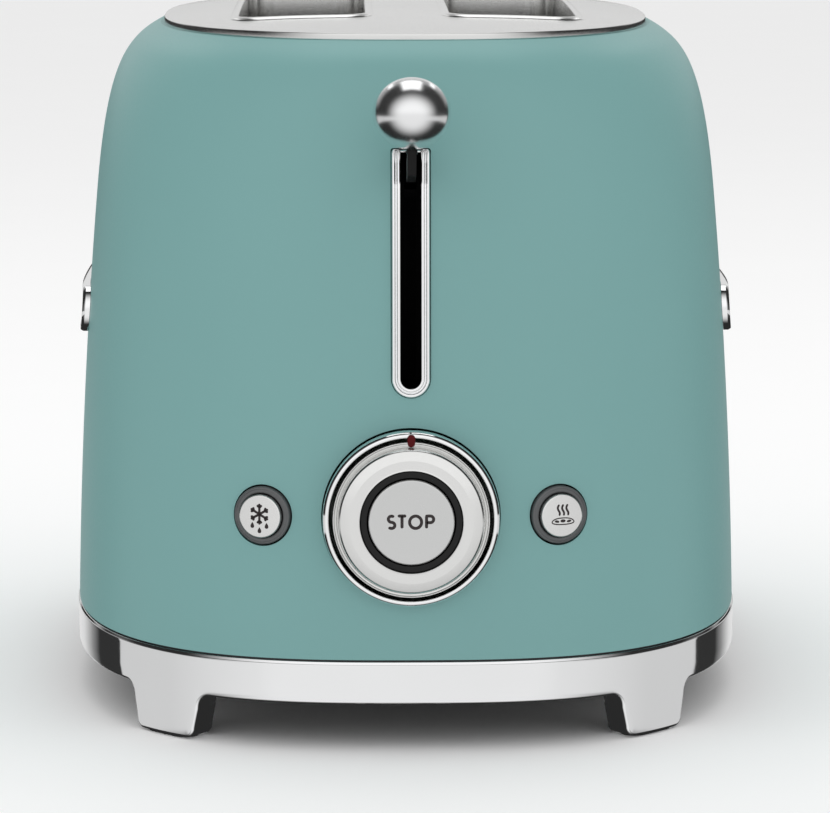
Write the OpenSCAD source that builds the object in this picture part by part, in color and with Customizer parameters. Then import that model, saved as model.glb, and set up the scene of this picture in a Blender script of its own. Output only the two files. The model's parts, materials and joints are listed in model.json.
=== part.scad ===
// Retro two-slice pop-up toaster, built as the separate pieces that it comes apart into.
// Millimetres. +Z is up, X runs across the body and the lever end faces -Y. The origin is
// on the supporting surface, under the middle of the body.

/* [Body] */
// Width of the body across its base band
body_w = 195; // [180:1:236]
// Length of the body along its base band, without the lever
body_l = 286; // [280:1:346]
// Height of the crown of the top plate, to the lips of the bread slots
body_h = 198; // [190:1:240]
// Squareness of the plan at the base, where 2 is an ellipse
base_squareness = 2.8; // [2.5:0.1:3.6]
// Squareness of the plan at the top plate
top_squareness = 2.46; // [2.3:0.02:3.2]
// Thickness of the painted shell
shell_t = 1.5; // [1:0.1:2]
// How far the shoulder closes in, from the band to the edge of the top opening
shoulder_inset = 25.15; // [20:0.05:30]
// Height of the shoulder curve
shoulder_h = 47.6; // [40:0.1:50]

/* [Base] */
// Height of the underside of the band above the surface
ground_gap = 13; // [10:0.5:18]
// Height of the band
band_h = 11.7; // [10:0.1:15]
// Thickness of the band
band_t = 6; // [4:0.5:8]
// Thickness of a leg, measured in from the face of the band
leg_t = 9; // [7:0.5:12]
// Width of the sole of a leg
leg_sole = 24; // [20:0.5:28]
// How far the rubber pads stand out of the legs
pad_proud = 0.5; // [0.3:0.1:3]
// Width of the crumb tray
tray_w = 116; // [100:1:120]
// Height of the crumb tray
tray_h = 6.8; // [6:0.1:7]

/* [Bread slots] */
// Length of a bread slot
slot_l = 146; // [130:1:152]
// Width of a bread slot
slot_w = 36; // [34:0.5:38]
// Distance between the middles of the two slots
slot_pitch = 60; // [58:0.5:64]
// Depth of the drawn collar under each slot
collar_h = 14; // [8:1:16]
// Height of the rolled lip over the plate
lip_h = 0.8; // [0.4:0.1:1.5]

/* [Lever] */
// Travel of the lever
lever_travel = 55.5; // [45:0.5:58]
// Width of the dark slot that the lever runs in
lever_gap = 5.8; // [5:0.1:7]
// Width of the bright frame around that slot
frame_w = 10.5; // [9.5:0.1:13]
// Thickness of the lever arm
arm_t = 2.4; // [2:0.1:3]
// Widest radius of the lever ball
ball_r = 10.4; // [8:0.1:12]
// Half height of the lever ball
ball_half_h = 9.7; // [7:0.1:11]
// Reach of the middle of the ball from the middle of the body, past the band
ball_reach = 14; // [12:0.5:24]

/* [Controls] */
// Height of the knob's axis over the surface
knob_z = 64.5; // [60:0.5:72]
// Outer radius of the bezel around the knob
bezel_r = 24.1; // [22:0.1:27]
// Radius of the face of the knob
knob_face_r = 20; // [18:0.1:20.4]
// How far the knob stands out from the shell
knob_proud = 8.5; // [8:0.5:14]
// Outer radius of the black ring in the knob
ring_r = 13.8; // [12:0.1:15]
// Radius of the stop button in the middle of the knob
stop_r = 11.75; // [9:0.05:11.8]
// Travel of the stop button
stop_travel = 2; // [1:0.1:2.5]
// Distance of each small button from the middle plane
side_button_x = 40.5; // [37:0.5:50]
// Radius of a small button
side_button_r = 6; // [5:0.1:7]
// Travel of a small button
side_travel = 1.8; // [1:0.1:2]

/* [Fits] */
// Radial clearance of turning and sliding fits
running_fit = 0.06; // [0.03:0.01:0.1]
// Gap between moving pieces that do not guide each other
free_gap = 0.3; // [0.3:0.05:0.6]

/* [Hidden] */
$fn = 48;
eps = 0.01;

// plan and skin
plan_sides = 64;
barrel_steps = 5;
shoulder_steps = 8;
skin_start = 0.25;
skin_lean = 0.0181;
barrel_r = 1760;
shoulder_tangent = 41;
shoulder_end_tangent = 9.5;
shoulder_end_angle = 60;
plate_edge_inset = 26.2;
plate_edge_drop = 5.4;
seal_t = 0.6;
band_z1 = ground_gap + band_h;
shell_z0 = band_z1 + seal_t;
shoulder_z1 = body_h - plate_edge_drop;
shoulder_z0 = shoulder_z1 - shoulder_h;
ledge_w = 6;

// top plate
plate_t = 1.5;
rim_h = 1.8;
crown_z = body_h - lip_h;
crown_power = 4;
slot_corner = 8;
collar_t = 1.5;
boss_r = 3.5;

// base
floor_t = 2.2;
floor_z1 = ground_gap + floor_t;
plate_gap = 0.2;
upstand_h = 4.7;
upstand_gap = 0.7;
tray_gap = 0.4;
tray_z0 = floor_z1 + tray_gap;
tray_wall = 1.2;
tray_floor = 0.8;
tray_lip_w = 44;
tray_lip_t = 1.4;
tray_setback = 3.5;
rail_t = 1.5;
leg_angle = 50;
leg_flare = 2;
leg_round = 3;
leg_fillet = 4;
pad_w = 17;
pad_d = 7;
pad_recess = 0.6;

// chamber
chamber_margin = 9;
sheet_t = 1.2;
chamber_y = slot_l / 2 + chamber_margin;
bulkhead_y = chamber_y + sheet_t;
chamber_x = slot_pitch / 2 + slot_w / 2 + 14;
chassis_z0 = 30;
chassis_z1 = body_h - 16;
flange_l = 13;
ear_x = chamber_x + 12;
boss_x = chamber_x + 6;
boss_y = bulkhead_y + 7;
chassis_boss_r = 4.5;
screw_r = 1.5;
screw_head_r = 3;
screw_head_h = 1.8;
plate_screw_x = 26;

// grilles, heaters and racks
grille_x = slot_w / 2 - 1.1;
grille_z0 = 56;
grille_z1 = body_h - 24;
grille_wire_r = 0.9;
grille_rod_r = 1.1;
grille_step = 14;
grille_end = slot_l / 2 + 3;
card_t = 0.8;
card_x_inner = 5.5;
card_x_outer = slot_pitch / 2 + slot_w / 2 + 6;
card_z0 = 48;
card_z1 = body_h - 24;
ribbon_h = 1.5;
ribbon_t = 0.3;
ribbon_step = 9;
rack_z1 = body_h - 75;
rack_bar_t = 3;
rack_bar_h = 6;
rack_half_w = 12;
rack_tine_r = 1.2;
rack_step = 20;
rack_slot_gap = 1;

// lever and carriage, placed from the front face of the front bulkhead
ball_z = body_h - 22.5;
ball_y = -(body_l / 2 + ball_reach);
arm_h = 6;
arm_z0 = body_h - 42;
lever_slot_z1 = arm_z0 + arm_h + 1.3;
lever_slot_z0 = arm_z0 - lever_travel - 1;
frame_rim = (frame_w - lever_gap) / 2;
frame_proud = 1;
seat_gap = 0.08;
frame_tube_w = 8.2;
shield_t = 1.5;
shield_w = 18;
pin_r = 1.5;
carriage_gap = 2;
carriage_t = 1.5;
crossbar_z0 = body_h - 48;
crossbar_h = 20;
carriage_y1 = -bulkhead_y - carriage_gap;
carriage_y0 = carriage_y1 - carriage_t;
rod_x = 44;
rod_y = -bulkhead_y - 9;
rod_r = 2;
bush_w = 10;
bracket_w = 12;
bracket_z1 = crossbar_z0 - lever_travel - 7;
magnet_y = -bulkhead_y - 12;
pole_r = 5;
coil_r = 8.9;
armature_z0 = crossbar_z0 - 1.5;
magnet_z1 = armature_z0 - lever_travel - free_gap;
magnet_z0 = magnet_z1 - 32;
spring_x = 20;
stud_z = crossbar_z0 + 3;
stud_r = 1;

// controls, placed by their distance s out of the shell at the knob
bezel_inner_r = 22.2;
bezel_proud = 4.4;
bezel_flange_r = 26.5;
bezel_back = -8;
hub_r = 15.4;
hub_back = -16;
knob_flange_s = 4.7;
board_s = -29.6;
board_t = 1.6;
encoder_r = 24;
encoder_front = -17;
rotor_r = 17.9;
stop_stem_r = 2.5;
web_s = -4;
web_t = 2;
stop_cap_back = 3.5;
side_ring_r = 8.1;
side_ring_back = -14;
side_ring_proud = 0.9;
side_cap_proud = 2.4;
side_cap_back = -2;
side_web_s = -8;
side_web_t = 1.5;
side_stem_r = 2;
side_stem_end = -16;
switch_w = 7;

// gland, lead and badges
gland_x = -45;
gland_z = 42;
gland_r = 7;
gland_bore_r = 3.25;
gland_proud = 5;
lead_r = 2.5;
badge_l = 90;
badge_h = 14;
badge_z = 110;
badge_t = 2.4;
badge_pin_y = 32;

// ---- shape functions ----

// Point of the plan outline: a superellipse of half sizes a and b and squareness n.
function plan_point(a, b, n, angle) =
  let (c = cos(angle), s = sin(angle), k = pow(pow(abs(c), n) + pow(abs(s), n), -1 / n))
  [a * c * k, b * s * k];

// Squareness of the plan where the skin stands in from the band by this inset.
function squareness(inset) =
  base_squareness - (base_squareness - top_squareness) * max(0, inset) / plate_edge_inset;

// Whole plan outline at an inset from the face of the band.
function plan_at(inset) =
  [for (i = [0:plan_sides - 1])
    plan_point(body_w / 2 - inset, body_l / 2 - inset, squareness(inset), 360 * i / plan_sides)];

// The same outline at the squareness of the base, for the band and the base plate.
function base_plan(inset) =
  [for (i = [0:plan_sides - 1])
    plan_point(body_w / 2 - inset, body_l / 2 - inset, base_squareness, 360 * i / plan_sides)];

// Inset of the slightly barrelled wall at height z.
function barrel_inset(z) =
  skin_start + skin_lean * (z - shell_z0) + pow(z - shell_z0, 2) / (2 * barrel_r);

// Cubic curve of the shoulder, from the top of the barrel to the edge of the opening.
function bezier(p, t) =
  pow(1 - t, 3) * p[0] + 3 * t * pow(1 - t, 2) * p[1] + 3 * t * t * (1 - t) * p[2]
  + pow(t, 3) * p[3];

barrel_angle = atan(skin_lean + (shoulder_z0 - shell_z0) / barrel_r);
shoulder_low = [barrel_inset(shoulder_z0), shoulder_z0];
shoulder_high = [shoulder_inset, shoulder_z1];
shoulder_handles = [
  shoulder_low,
  shoulder_low + shoulder_tangent * [sin(barrel_angle), cos(barrel_angle)],
  shoulder_high - shoulder_end_tangent * [sin(shoulder_end_angle), cos(shoulder_end_angle)],
  shoulder_high
];

// Side profile of the skin as [inset, height] pairs, from the bottom edge up.
skin_profile = concat(
  [for (i = [0:barrel_steps - 1])
    let (z = shell_z0 + (shoulder_z0 - shell_z0) * i / barrel_steps) [barrel_inset(z), z]],
  [for (i = [0:shoulder_steps]) bezier(shoulder_handles, i / shoulder_steps)]
);

// Profile moved outwards by d along its own normals.
function profile_offset(d) =
  [for (i = [0:len(skin_profile) - 1])
    let (low = skin_profile[max(0, i - 1)], high = skin_profile[min(len(skin_profile) - 1, i + 1)],
         along = (high - low) / norm(high - low))
    skin_profile[i] + d * [-along[1], along[0]]];

// Inset of the skin at height z, and its place on the front and on the side.
skin_table = [for (p = skin_profile) [p[1], p[0]]];
function inset_at(z) = lookup(z, skin_table);
function front_y(z) = -(body_l / 2 - inset_at(z));
function side_x(y, z) =
  let (inset = inset_at(z), n = squareness(inset))
  (body_w / 2 - inset) * pow(1 - pow(abs(y) / (body_l / 2 - inset), n), 1 / n);
function end_y(x, z) =
  let (inset = inset_at(z), n = squareness(inset))
  (body_l / 2 - inset) * pow(1 - pow(abs(x) / (body_w / 2 - inset), n), 1 / n);

// Angle of the skin's outward normal from the Y axis, in plan, at x and height z.
function end_angle(x, z) =
  let (inset = inset_at(z), n = squareness(inset), a = body_w / 2 - inset, b = body_l / 2 - inset)
  atan2(pow(x / a, n - 1) / a, pow(end_y(x, z) / b, n - 1) / b);

// ---- shared shapes ----

// Closed solid through a stack of rings that all have the same number of points.
module stack(rings) {
  sides = len(rings[0]);
  last = len(rings) - 1;
  polyhedron(
    points = [for (ring = rings) each ring],
    faces = concat(
      [[for (i = [0:sides - 1]) i]],
      [for (r = [0:last - 1]) for (i = [0:sides - 1])
        let (j = (i + 1) % sides, low = r * sides, high = low + sides) each
        [[low + i, high + i, high + j], [low + i, high + j, low + j]]],
      [[for (i = [sides - 1:-1:0]) last * sides + i]]
    ),
    convexity = 6
  );
}

// The skin as a closed solid, moved out by d and stretched down by foot.
module skin_solid(d = 0, foot = 0) {
  profile = profile_offset(d);
  foot_ring = [for (p = plan_at(profile[0][0])) [p[0], p[1], shell_z0 - foot]];
  rings = [for (q = profile) [for (p = plan_at(q[0])) [p[0], p[1], q[1]]]];
  stack(foot > 0 ? concat([foot_ring], rings) : rings);
}

// Upright ring of the base plan, from one inset to another.
module base_ring(z0, z1, outer, inner) {
  translate([0, 0, z0]) linear_extrude(z1 - z0) difference() {
    polygon(base_plan(outer));
    polygon(base_plan(inner));
  }
}

module box(low, high) {
  translate(low) cube(high - low);
}

module rounded_slot(w, l, r) {
  for (x = [-1, 1], y = [-1, 1]) translate([x * (w / 2 - r), y * (l / 2 - r)]) circle(r);
  square([w - 2 * r, l], center = true);
  square([w, l - 2 * r], center = true);
}

// Stadium outline standing in the XZ plane, extruded along Y.
module upright_stadium(w, z0, z1, y0, y1) {
  translate([0, y1, 0]) rotate([90, 0, 0]) linear_extrude(y1 - y0) {
    translate([0, z0 + w / 2]) circle(w / 2);
    translate([-w / 2, z0 + w / 2]) square([w, z1 - z0 - w / 2]);
  }
}

// Frame of the knob's parts: +Z points out of the shell along the knob's axis.
module at_knob() {
  translate([0, front_y(knob_z), knob_z]) rotate([90, 0, 0]) children();
}

// Frame of a small button: side is -1 on the left and 1 on the right.
module at_side_button(side) {
  translate([side * side_button_x, -end_y(side_button_x, knob_z), knob_z])
    rotate([0, 0, side * end_angle(side_button_x, knob_z)]) rotate([90, 0, 0]) children();
}

// Tube or disc with its axis along the local Z.
module ring(outer, inner, s0, s1) {
  translate([0, 0, s0]) difference() {
    cylinder(r = outer, h = s1 - s0);
    translate([0, 0, -1]) cylinder(r = inner, h = s1 - s0 + 2);
  }
}

module disc(r, s0, s1) {
  translate([0, 0, s0]) cylinder(r = r, h = s1 - s0);
}

// Round wire wound into a helix whose ends fill the height from z0 to z1.
module coil_spring(r, wire_r, turns, z0, z1, steps = 14, sides = 6) {
  rise = z1 - z0 - 2 * wire_r;
  count = turns * steps;
  stack([for (i = [0:count])
    let (turn = 360 * i / steps, z = z0 + wire_r + rise * i / count)
    [for (k = [0:sides - 1])
      let (a = -360 * k / sides, reach = r + wire_r * cos(a))
      [reach * cos(turn), reach * sin(turn), z + wire_r * sin(a)]]]);
}

// Round lead swept along a list of points, each ring square to the run of the route.
module lead(route, r, sides = 8) {
  last = len(route) - 1;
  stack([for (i = [0:last])
    let (along = route[min(last, i + 1)] - route[max(0, i - 1)], t = along / norm(along),
         flat = cross(t, [0, 0, 1]), u = flat / norm(flat), v = cross(t, u))
    [for (k = [0:sides - 1]) route[i] + r * (cos(360 * k / sides) * u + sin(360 * k / sides) * v)]]);
}

module pan_screw(length) {
  translate([0, 0, -length]) cylinder(r = screw_r, h = length);
  cylinder(r = screw_head_r, h = screw_head_h);
}

module corners(x, y) {
  for (sx = [-1, 1], sy = [-1, 1]) translate([sx * x, sy * y, 0]) children();
}

// ---- outer casing ----

module body_shell() color("#7fa6a1") difference() {
  skin_solid();
  difference() {
    skin_solid(-shell_t, foot = 2);
    box([-body_w, -body_l, shoulder_z1 - shell_t], [body_w, body_l, body_h]);
  }
  translate([0, 0, shoulder_z1 - shell_t - 1]) linear_extrude(2 * shell_t + 2)
    polygon(plan_at(plate_edge_inset + ledge_w));
  upright_stadium(frame_tube_w + 0.2, lever_slot_z0 - 1.3, lever_slot_z1 + 0.4, -body_l / 2, -body_l / 4);
  at_knob() disc(bezel_r + 0.15, -20, 20);
  for (side = [-1, 1]) at_side_button(side) disc(side_ring_r + 0.1, -12, 12);
  for (side = [-1, 1], end = [-1, 1]) translate([side * body_w / 2, end * badge_pin_y, badge_z])
    rotate([0, 90, 0]) cylinder(r = pin_r, h = 30, center = true);
  translate([gland_x, body_l / 2, gland_z]) rotate([90, 0, 0]) cylinder(r = gland_r, h = 40);
}

// Domed lid of the body, moved up by d and closed at z0.
module plate_dome(d, z0, edge = 0) {
  steps = 6;
  low = [for (p = plan_at(plate_edge_inset + edge)) [p[0], p[1], z0]];
  drop = crown_z - (shoulder_z1 + rim_h);
  rings = [for (i = [steps:-1:1])
    let (share = pow(i / steps, 0.6))
    [for (p = low) [p[0] * share, p[1] * share, crown_z + d - drop * pow(share, crown_power)]]];
  stack(concat([low], rings));
}

module top_plate() color("#d9dadb") difference() {
  union() {
    difference() {
      plate_dome(0, shoulder_z1);
      plate_dome(-plate_t, shoulder_z1 - 1, plate_t);
    }
    intersection() {
      plate_dome(lip_h, body_h - 2 * collar_h);
      for (x = [-1, 1]) translate([x * slot_pitch / 2, 0, body_h - collar_h])
        linear_extrude(collar_h + 1)
          rounded_slot(slot_w + 2 * collar_t, slot_l + 2 * collar_t, slot_corner + collar_t);
    }
    corners(plate_screw_x, boss_y) translate([0, 0, chassis_z1])
      cylinder(r = boss_r, h = crown_z - plate_t / 2 - chassis_z1 - 1);
  }
  for (x = [-1, 1]) translate([x * slot_pitch / 2, 0, body_h - 2 * collar_h])
    linear_extrude(3 * collar_h) rounded_slot(slot_w, slot_l, slot_corner);
  corners(plate_screw_x, boss_y) translate([0, 0, chassis_z1 - 1]) cylinder(r = screw_r, h = 7);
}

module badge(side) color("#e4e5e6") {
  columns = 10;
  rows = 3;
  intersection() {
    for (c = [0:columns - 1]) {
      y0 = badge_l * (c / columns - 0.5);
      y1 = badge_l * ((c + 1) / columns - 0.5);
      badge_slice(side, y0, y1);
    }
    translate([0, 0, badge_z]) rotate([0, side * 90, 0]) linear_extrude(body_w)
      rounded_slot(badge_h, badge_l, badge_h / 2 - eps);
  }
  for (end = [-1, 1]) translate([side * (side_x(badge_pin_y, badge_z) - 5), end * badge_pin_y, badge_z])
    rotate([0, side * 90, 0]) cylinder(r = pin_r, h = 6);
}

// One flat-faced length of the badge, lying on the skin between two stations along Y.
module badge_slice(side, y0, y1) {
  z0 = badge_z - badge_h / 2;
  z1 = badge_z + badge_h / 2;
  corner = [for (z = [z0, z1], y = [y0, y1]) [side * (side_x(y, z) + seat_gap), y, z]];
  out = [side * badge_t, 0, 0];
  polyhedron(
    points = concat(corner, [for (p = corner) p + out]),
    faces = side > 0
      ? [[0, 1, 3], [0, 3, 2], [4, 7, 5], [4, 6, 7], [0, 4, 5], [0, 5, 1],
         [2, 3, 7], [2, 7, 6], [0, 2, 6], [0, 6, 4], [1, 5, 7], [1, 7, 3]]
      : [[0, 3, 1], [0, 2, 3], [4, 5, 7], [4, 7, 6], [0, 5, 4], [0, 1, 5],
         [2, 7, 3], [2, 6, 7], [0, 6, 2], [0, 4, 6], [1, 7, 5], [1, 3, 7]]
  );
}

// ---- base ----

// Half width of a leg at a height, before its corners are rounded.
function leg_flank(z) = leg_sole / 2 + leg_flare * (z - pad_proud) / (ground_gap - pad_proud);

// Outline of a leg, seen along the corner's normal: a tapered block with round lower corners
// and hollow upper ones that blend it into the band.
module leg_outline() {
  foot = leg_flank(pad_proud);
  top = leg_flank(ground_gap);
  arc_x = leg_flank(pad_proud + leg_round) - leg_round;
  difference() {
    polygon([[-foot, pad_proud], [foot, pad_proud], [top, ground_gap], [-top, ground_gap]]);
    for (side = [-1, 1]) translate([side * arc_x, pad_proud + leg_round]) difference() {
      translate([side > 0 ? 0 : -leg_round - 1, -leg_round - 1]) square([leg_round + 1, leg_round + 1]);
      circle(leg_round);
    }
  }
  for (side = [-1, 1]) translate([side * (top - 1), ground_gap - leg_fillet]) difference() {
    translate([side > 0 ? 0 : -leg_fillet, 0]) square([leg_fillet, leg_fillet]);
    translate([side * leg_fillet, 0]) circle(leg_fillet);
  }
}

function leg_point(inset) =
  plan_point(body_w / 2 - inset, body_l / 2 - inset, base_squareness, leg_angle);
leg_normal = atan2(
  pow(leg_point(0)[1] / (body_l / 2), base_squareness - 1) / body_l,
  pow(leg_point(0)[0] / (body_w / 2), base_squareness - 1) / body_w
);

module quarters() {
  for (x = [0, 1], y = [0, 1]) mirror([x, 0, 0]) mirror([0, y, 0]) children();
}

module base_band() color("#cfd2d4") difference() {
  union() {
    base_ring(ground_gap, band_z1, 0, band_t);
    intersection() {
      base_ring(0, ground_gap + eps, 0, leg_t);
      quarters() translate([leg_point(0)[0], leg_point(0)[1], 0]) rotate([0, 0, leg_normal])
        translate([-3 * leg_t, 0, 0]) rotate([90, 0, 90]) linear_extrude(4 * leg_t) leg_outline();
    }
  }
  box([-tray_w / 2 - 0.6, body_l / 4, floor_z1], [tray_w / 2 + 0.6, body_l, tray_z0 + tray_h + tray_gap]);
  box([-tray_lip_w / 2, body_l / 4, ground_gap - 1], [tray_lip_w / 2, body_l, floor_z1 + 1]);
  pad_blocks();
}

module pad_blocks() quarters()
  translate([leg_point(leg_t / 2)[0], leg_point(leg_t / 2)[1], 0]) rotate([0, 0, leg_normal + 90])
    linear_extrude(pad_proud + pad_recess) rounded_slot(pad_w, pad_d, pad_d / 2 - eps);

module foot_pads() color("#1b1b1c") pad_blocks();

module base_plate() color("#26282a") difference() {
  union() {
    translate([0, 0, ground_gap]) linear_extrude(floor_t) polygon(base_plan(band_t + plate_gap));
    base_ring(ground_gap, band_z1 + eps, band_t + plate_gap, band_t + 2);
    base_ring(band_z1, shell_z0, skin_start + 0.6, band_t + 2);
    base_ring(band_z1, shell_z0 + upstand_h, skin_start + shell_t + upstand_gap, band_t);
    for (side = [-1, 1]) box([side * (tray_w / 2 + 0.6 + rail_t / 2) - rail_t / 2, -chamber_y, floor_z1 - eps],
      [side * (tray_w / 2 + 0.6 + rail_t / 2) + rail_t / 2, chamber_y + 20, floor_z1 + tray_h + 1.4]);
    corners(boss_x, boss_y) translate([0, 0, floor_z1 - eps])
      cylinder(r = chassis_boss_r, h = chassis_z0 - floor_z1 + eps);
  }
  box([-tray_w / 2 - 0.6, chamber_y + 19, floor_z1], [tray_w / 2 + 0.6, body_l, tray_z0 + tray_h + tray_gap]);
  corners(boss_x, boss_y) translate([0, 0, floor_z1 + 2]) cylinder(r = screw_r, h = 30);
  for (side = [-1, 1], i = [-3:3]) translate([side * (chamber_x + 6), i * 18, ground_gap - 1])
    linear_extrude(floor_t + 2) rounded_slot(8, 3, 1.4);
}

// Pan of the tray: a box trimmed to the plan of the body behind its face.
module tray_block(z0, z1, side_inset, face_inset, front) {
  intersection() {
    box([-tray_w / 2 + side_inset, front, z0], [tray_w / 2 - side_inset, body_l, z1]);
    translate([0, 0, z0]) linear_extrude(z1 - z0) polygon(base_plan(face_inset));
  }
}

module crumb_tray() color("#b9bcbf") {
  difference() {
    tray_block(tray_z0, tray_z0 + tray_h, 0, tray_setback, -chamber_y + 2);
    tray_block(tray_z0 + tray_floor, tray_z0 + tray_h + 1, tray_wall,
      tray_setback + 2.5, -chamber_y + 2 + tray_wall);
  }
  intersection() {
    base_ring(tray_z0, tray_z0 + tray_lip_t, 0, tray_setback + 1);
    box([-tray_lip_w / 2 + 1, body_l / 4, 0], [tray_lip_w / 2 - 1, body_l, body_h]);
  }
}

// ---- lever, slot and carriage ----

// Side outline of the frame's bright strip, a thin band standing on the front of the shell.
frame_z0 = lever_slot_z0 - frame_rim;
frame_z1 = lever_slot_z1 + 1;
frame_back_y = front_y(frame_z1) + 6;
frame_stations = [for (i = [0:8]) frame_z0 - 1 + (frame_z1 - frame_z0 + 2) * i / 8];

module slot_frame() color("#dfe1e2") difference() {
  union() {
    intersection() {
      rotate([90, 0, 90]) linear_extrude(frame_w + 2, center = true) polygon(concat(
        [for (z = frame_stations) [front_y(z) - seat_gap, z]],
        [for (i = [8:-1:0]) [front_y(frame_stations[i]) - frame_proud, frame_stations[i]]]
      ));
      upright_stadium(frame_w, frame_z0, frame_z1, -body_l, 0);
    }
    intersection() {
      upright_stadium(frame_tube_w, lever_slot_z0 - 1.2, lever_slot_z1 + 0.3, -body_l, frame_back_y);
      rotate([90, 0, 90]) linear_extrude(frame_w + 2, center = true) polygon(concat(
        [for (z = frame_stations) [front_y(z) - frame_proud / 2, z]],
        [[0, frame_z1 + 1], [0, frame_z0 - 1]]
      ));
    }
  }
  upright_stadium(lever_gap, lever_slot_z0, lever_slot_z1, -body_l, 0);
}

module slot_shield() color("#0e0e0f") difference() {
  box([-shield_w / 2, frame_back_y, lever_slot_z0 - 4],
    [shield_w / 2, frame_back_y + shield_t, lever_slot_z1 + 6]);
  box([-arm_t / 2 - 0.5, -body_l, lever_slot_z0 + 0.2], [arm_t / 2 + 0.5, 0, arm_z0 + arm_h + 1]);
}

module lever_ball() color("#e8e9ea") translate([0, ball_y, ball_z]) difference() {
  rotate_extrude($fn = 64) polygon([for (i = [0:24])
    let (a = -90 + 180 * i / 24) [ball_r * cos(a), ball_half_h * sin(a)]]);
  translate([0, 0, -ball_half_h - 1]) cylinder(r = pin_r, h = ball_half_h + 1);
}

module lever_arm() color("#141415") {
  slot_front = front_y(arm_z0);
  arm_top = ball_z - ball_half_h - 0.05;
  translate([-arm_t / 2, 0, 0]) rotate([90, 0, 90]) linear_extrude(arm_t) polygon([
    [carriage_y0, arm_z0 - 2], [carriage_y0, arm_z0 + arm_h + 2], [carriage_y0 - 12, arm_z0 + arm_h],
    [slot_front - 6, arm_z0 + arm_h], [ball_y + 5, arm_z0 + arm_h + 1.5], [ball_y + 1.6, arm_top],
    [ball_y - 1.6, arm_top], [ball_y + 0.5, arm_z0 + 3], [slot_front - 8, arm_z0]
  ]);
  translate([0, ball_y, arm_top - 1]) cylinder(r = pin_r, h = ball_half_h + 1);
  box([-8, carriage_y0 - 1.5, arm_z0 - 2], [8, carriage_y0, arm_z0 + arm_h + 2]);
}

module carriage_plate() color("#b5b8ba") {
  box([-rod_x - 6, carriage_y0, crossbar_z0], [rod_x + 6, carriage_y1, crossbar_z0 + crossbar_h]);
  for (side = [-1, 1]) box([side * slot_pitch / 2 - 4, carriage_y0, rack_z1 - rack_bar_h - 3],
    [side * slot_pitch / 2 + 4, carriage_y1, crossbar_z0 + 1]);
  translate([spring_x, carriage_y0 - 8, stud_z]) rotate([-90, 0, 0]) cylinder(r = stud_r, h = 8.5);
}

module carriage_bushes() color("#e9e6dc") for (side = [-1, 1]) difference() {
  box([side * rod_x - bush_w / 2, rod_y - bush_w / 2, crossbar_z0],
    [side * rod_x + bush_w / 2, carriage_y0, crossbar_z0 + crossbar_h]);
  translate([side * rod_x, rod_y, 0]) cylinder(r = rod_r + running_fit, h = body_h);
}

module guide_rods() color("#c9cccf") for (side = [-1, 1])
  translate([side * rod_x, rod_y, bracket_z1]) cylinder(r = rod_r, h = chassis_z1 - sheet_t - bracket_z1);

module carriage_spring() color("#a9acae") translate([spring_x, rod_y, 0])
  coil_spring(3.2, 0.6, 9, stud_z + stud_r, chassis_z1 - sheet_t);

module bread_rack(side) color("#b9bbbc") translate([side * slot_pitch / 2, 0, 0]) {
  box([-rack_bar_t / 2, carriage_y1, rack_z1 - rack_bar_h], [rack_bar_t / 2, slot_l / 2 + 3, rack_z1 - 1]);
  for (i = [-3:3]) translate([-rack_half_w, i * rack_step, rack_z1 - rack_tine_r]) rotate([0, 90, 0])
    cylinder(r = rack_tine_r, h = 2 * rack_half_w);
}

module armature_plate() color("#8d9092")
  box([-10, magnet_y - 8, armature_z0], [10, carriage_y0, armature_z0 + 2]);

// ---- controls ----

module knob_bezel() color("#d6d8d9") at_knob() {
  ring(bezel_r, bezel_inner_r, bezel_back, bezel_proud);
  ring(bezel_flange_r, bezel_inner_r, bezel_back, bezel_back + 2);
}

module browning_knob() color("#e3e4e4") at_knob() {
  bore = ring_r + running_fit;
  face = knob_proud;
  flange = bezel_inner_r - free_gap;
  difference() {
    rotate_extrude($fn = 96) polygon([
      [bore, bezel_back + 4], [bore, face - 0.5], [bore + 0.5, face], [knob_face_r - 2.6, face - 0.4],
      [knob_face_r - 0.9, face - 1.5], [knob_face_r, face - 3.2], [knob_face_r, knob_flange_s - 0.8],
      [knob_face_r + 0.4, knob_flange_s - 0.8], [knob_face_r + 0.4, knob_flange_s],
      [flange, knob_flange_s], [flange, bezel_back + 4]
    ]);
    ring(knob_face_r - 1.6, hub_r, bezel_back + 3, face - 3);
    translate([0, knob_face_r + 1, 0]) disc(0.7, 1, face);
  }
  ring(hub_r, bore, hub_back, bezel_back + 5);
}

module knob_pointer() color("#8e1f22") at_knob() {
  translate([-1.05, knob_face_r + 0.1, knob_flange_s]) cube([2.1, 3.3, 0.9]);
  translate([0, knob_face_r + 1, 0]) disc(0.7, 1, knob_flange_s + 0.5);
}

module stop_sleeve() color("#1a1b1c") at_knob() {
  ring(ring_r, stop_r + free_gap, board_s, knob_proud - 0.6);
  ring(stop_r + free_gap + eps, stop_stem_r + running_fit, web_s, web_s + web_t);
}

module stop_button() color("#cfd0d0") at_knob() {
  disc(stop_r, stop_cap_back, knob_proud + 0.1);
  disc(stop_stem_r, board_s + 2.6 + stop_travel, stop_cap_back + 1);
  disc(stop_stem_r + 1.2, web_s - 1.6, web_s - 0.1);
}

module stop_spring() color("#a9acae") at_knob()
  coil_spring(5, 0.4, 4, web_s + web_t, stop_cap_back);

module stop_switch() color("#2a2b2d") at_knob()
  translate([-3, -3, board_s]) cube([6, 6, 2.3]);

module encoder_body() color("#3b4f45") at_knob() {
  ring(encoder_r, rotor_r + 0.1, board_s, encoder_front);
  ring(rotor_r + 0.2, ring_r + running_fit, board_s, board_s + 3);
}

module encoder_rotor() color("#e2dfd4") at_knob()
  ring(rotor_r, ring_r + running_fit, board_s + 3.3, hub_back);

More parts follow.
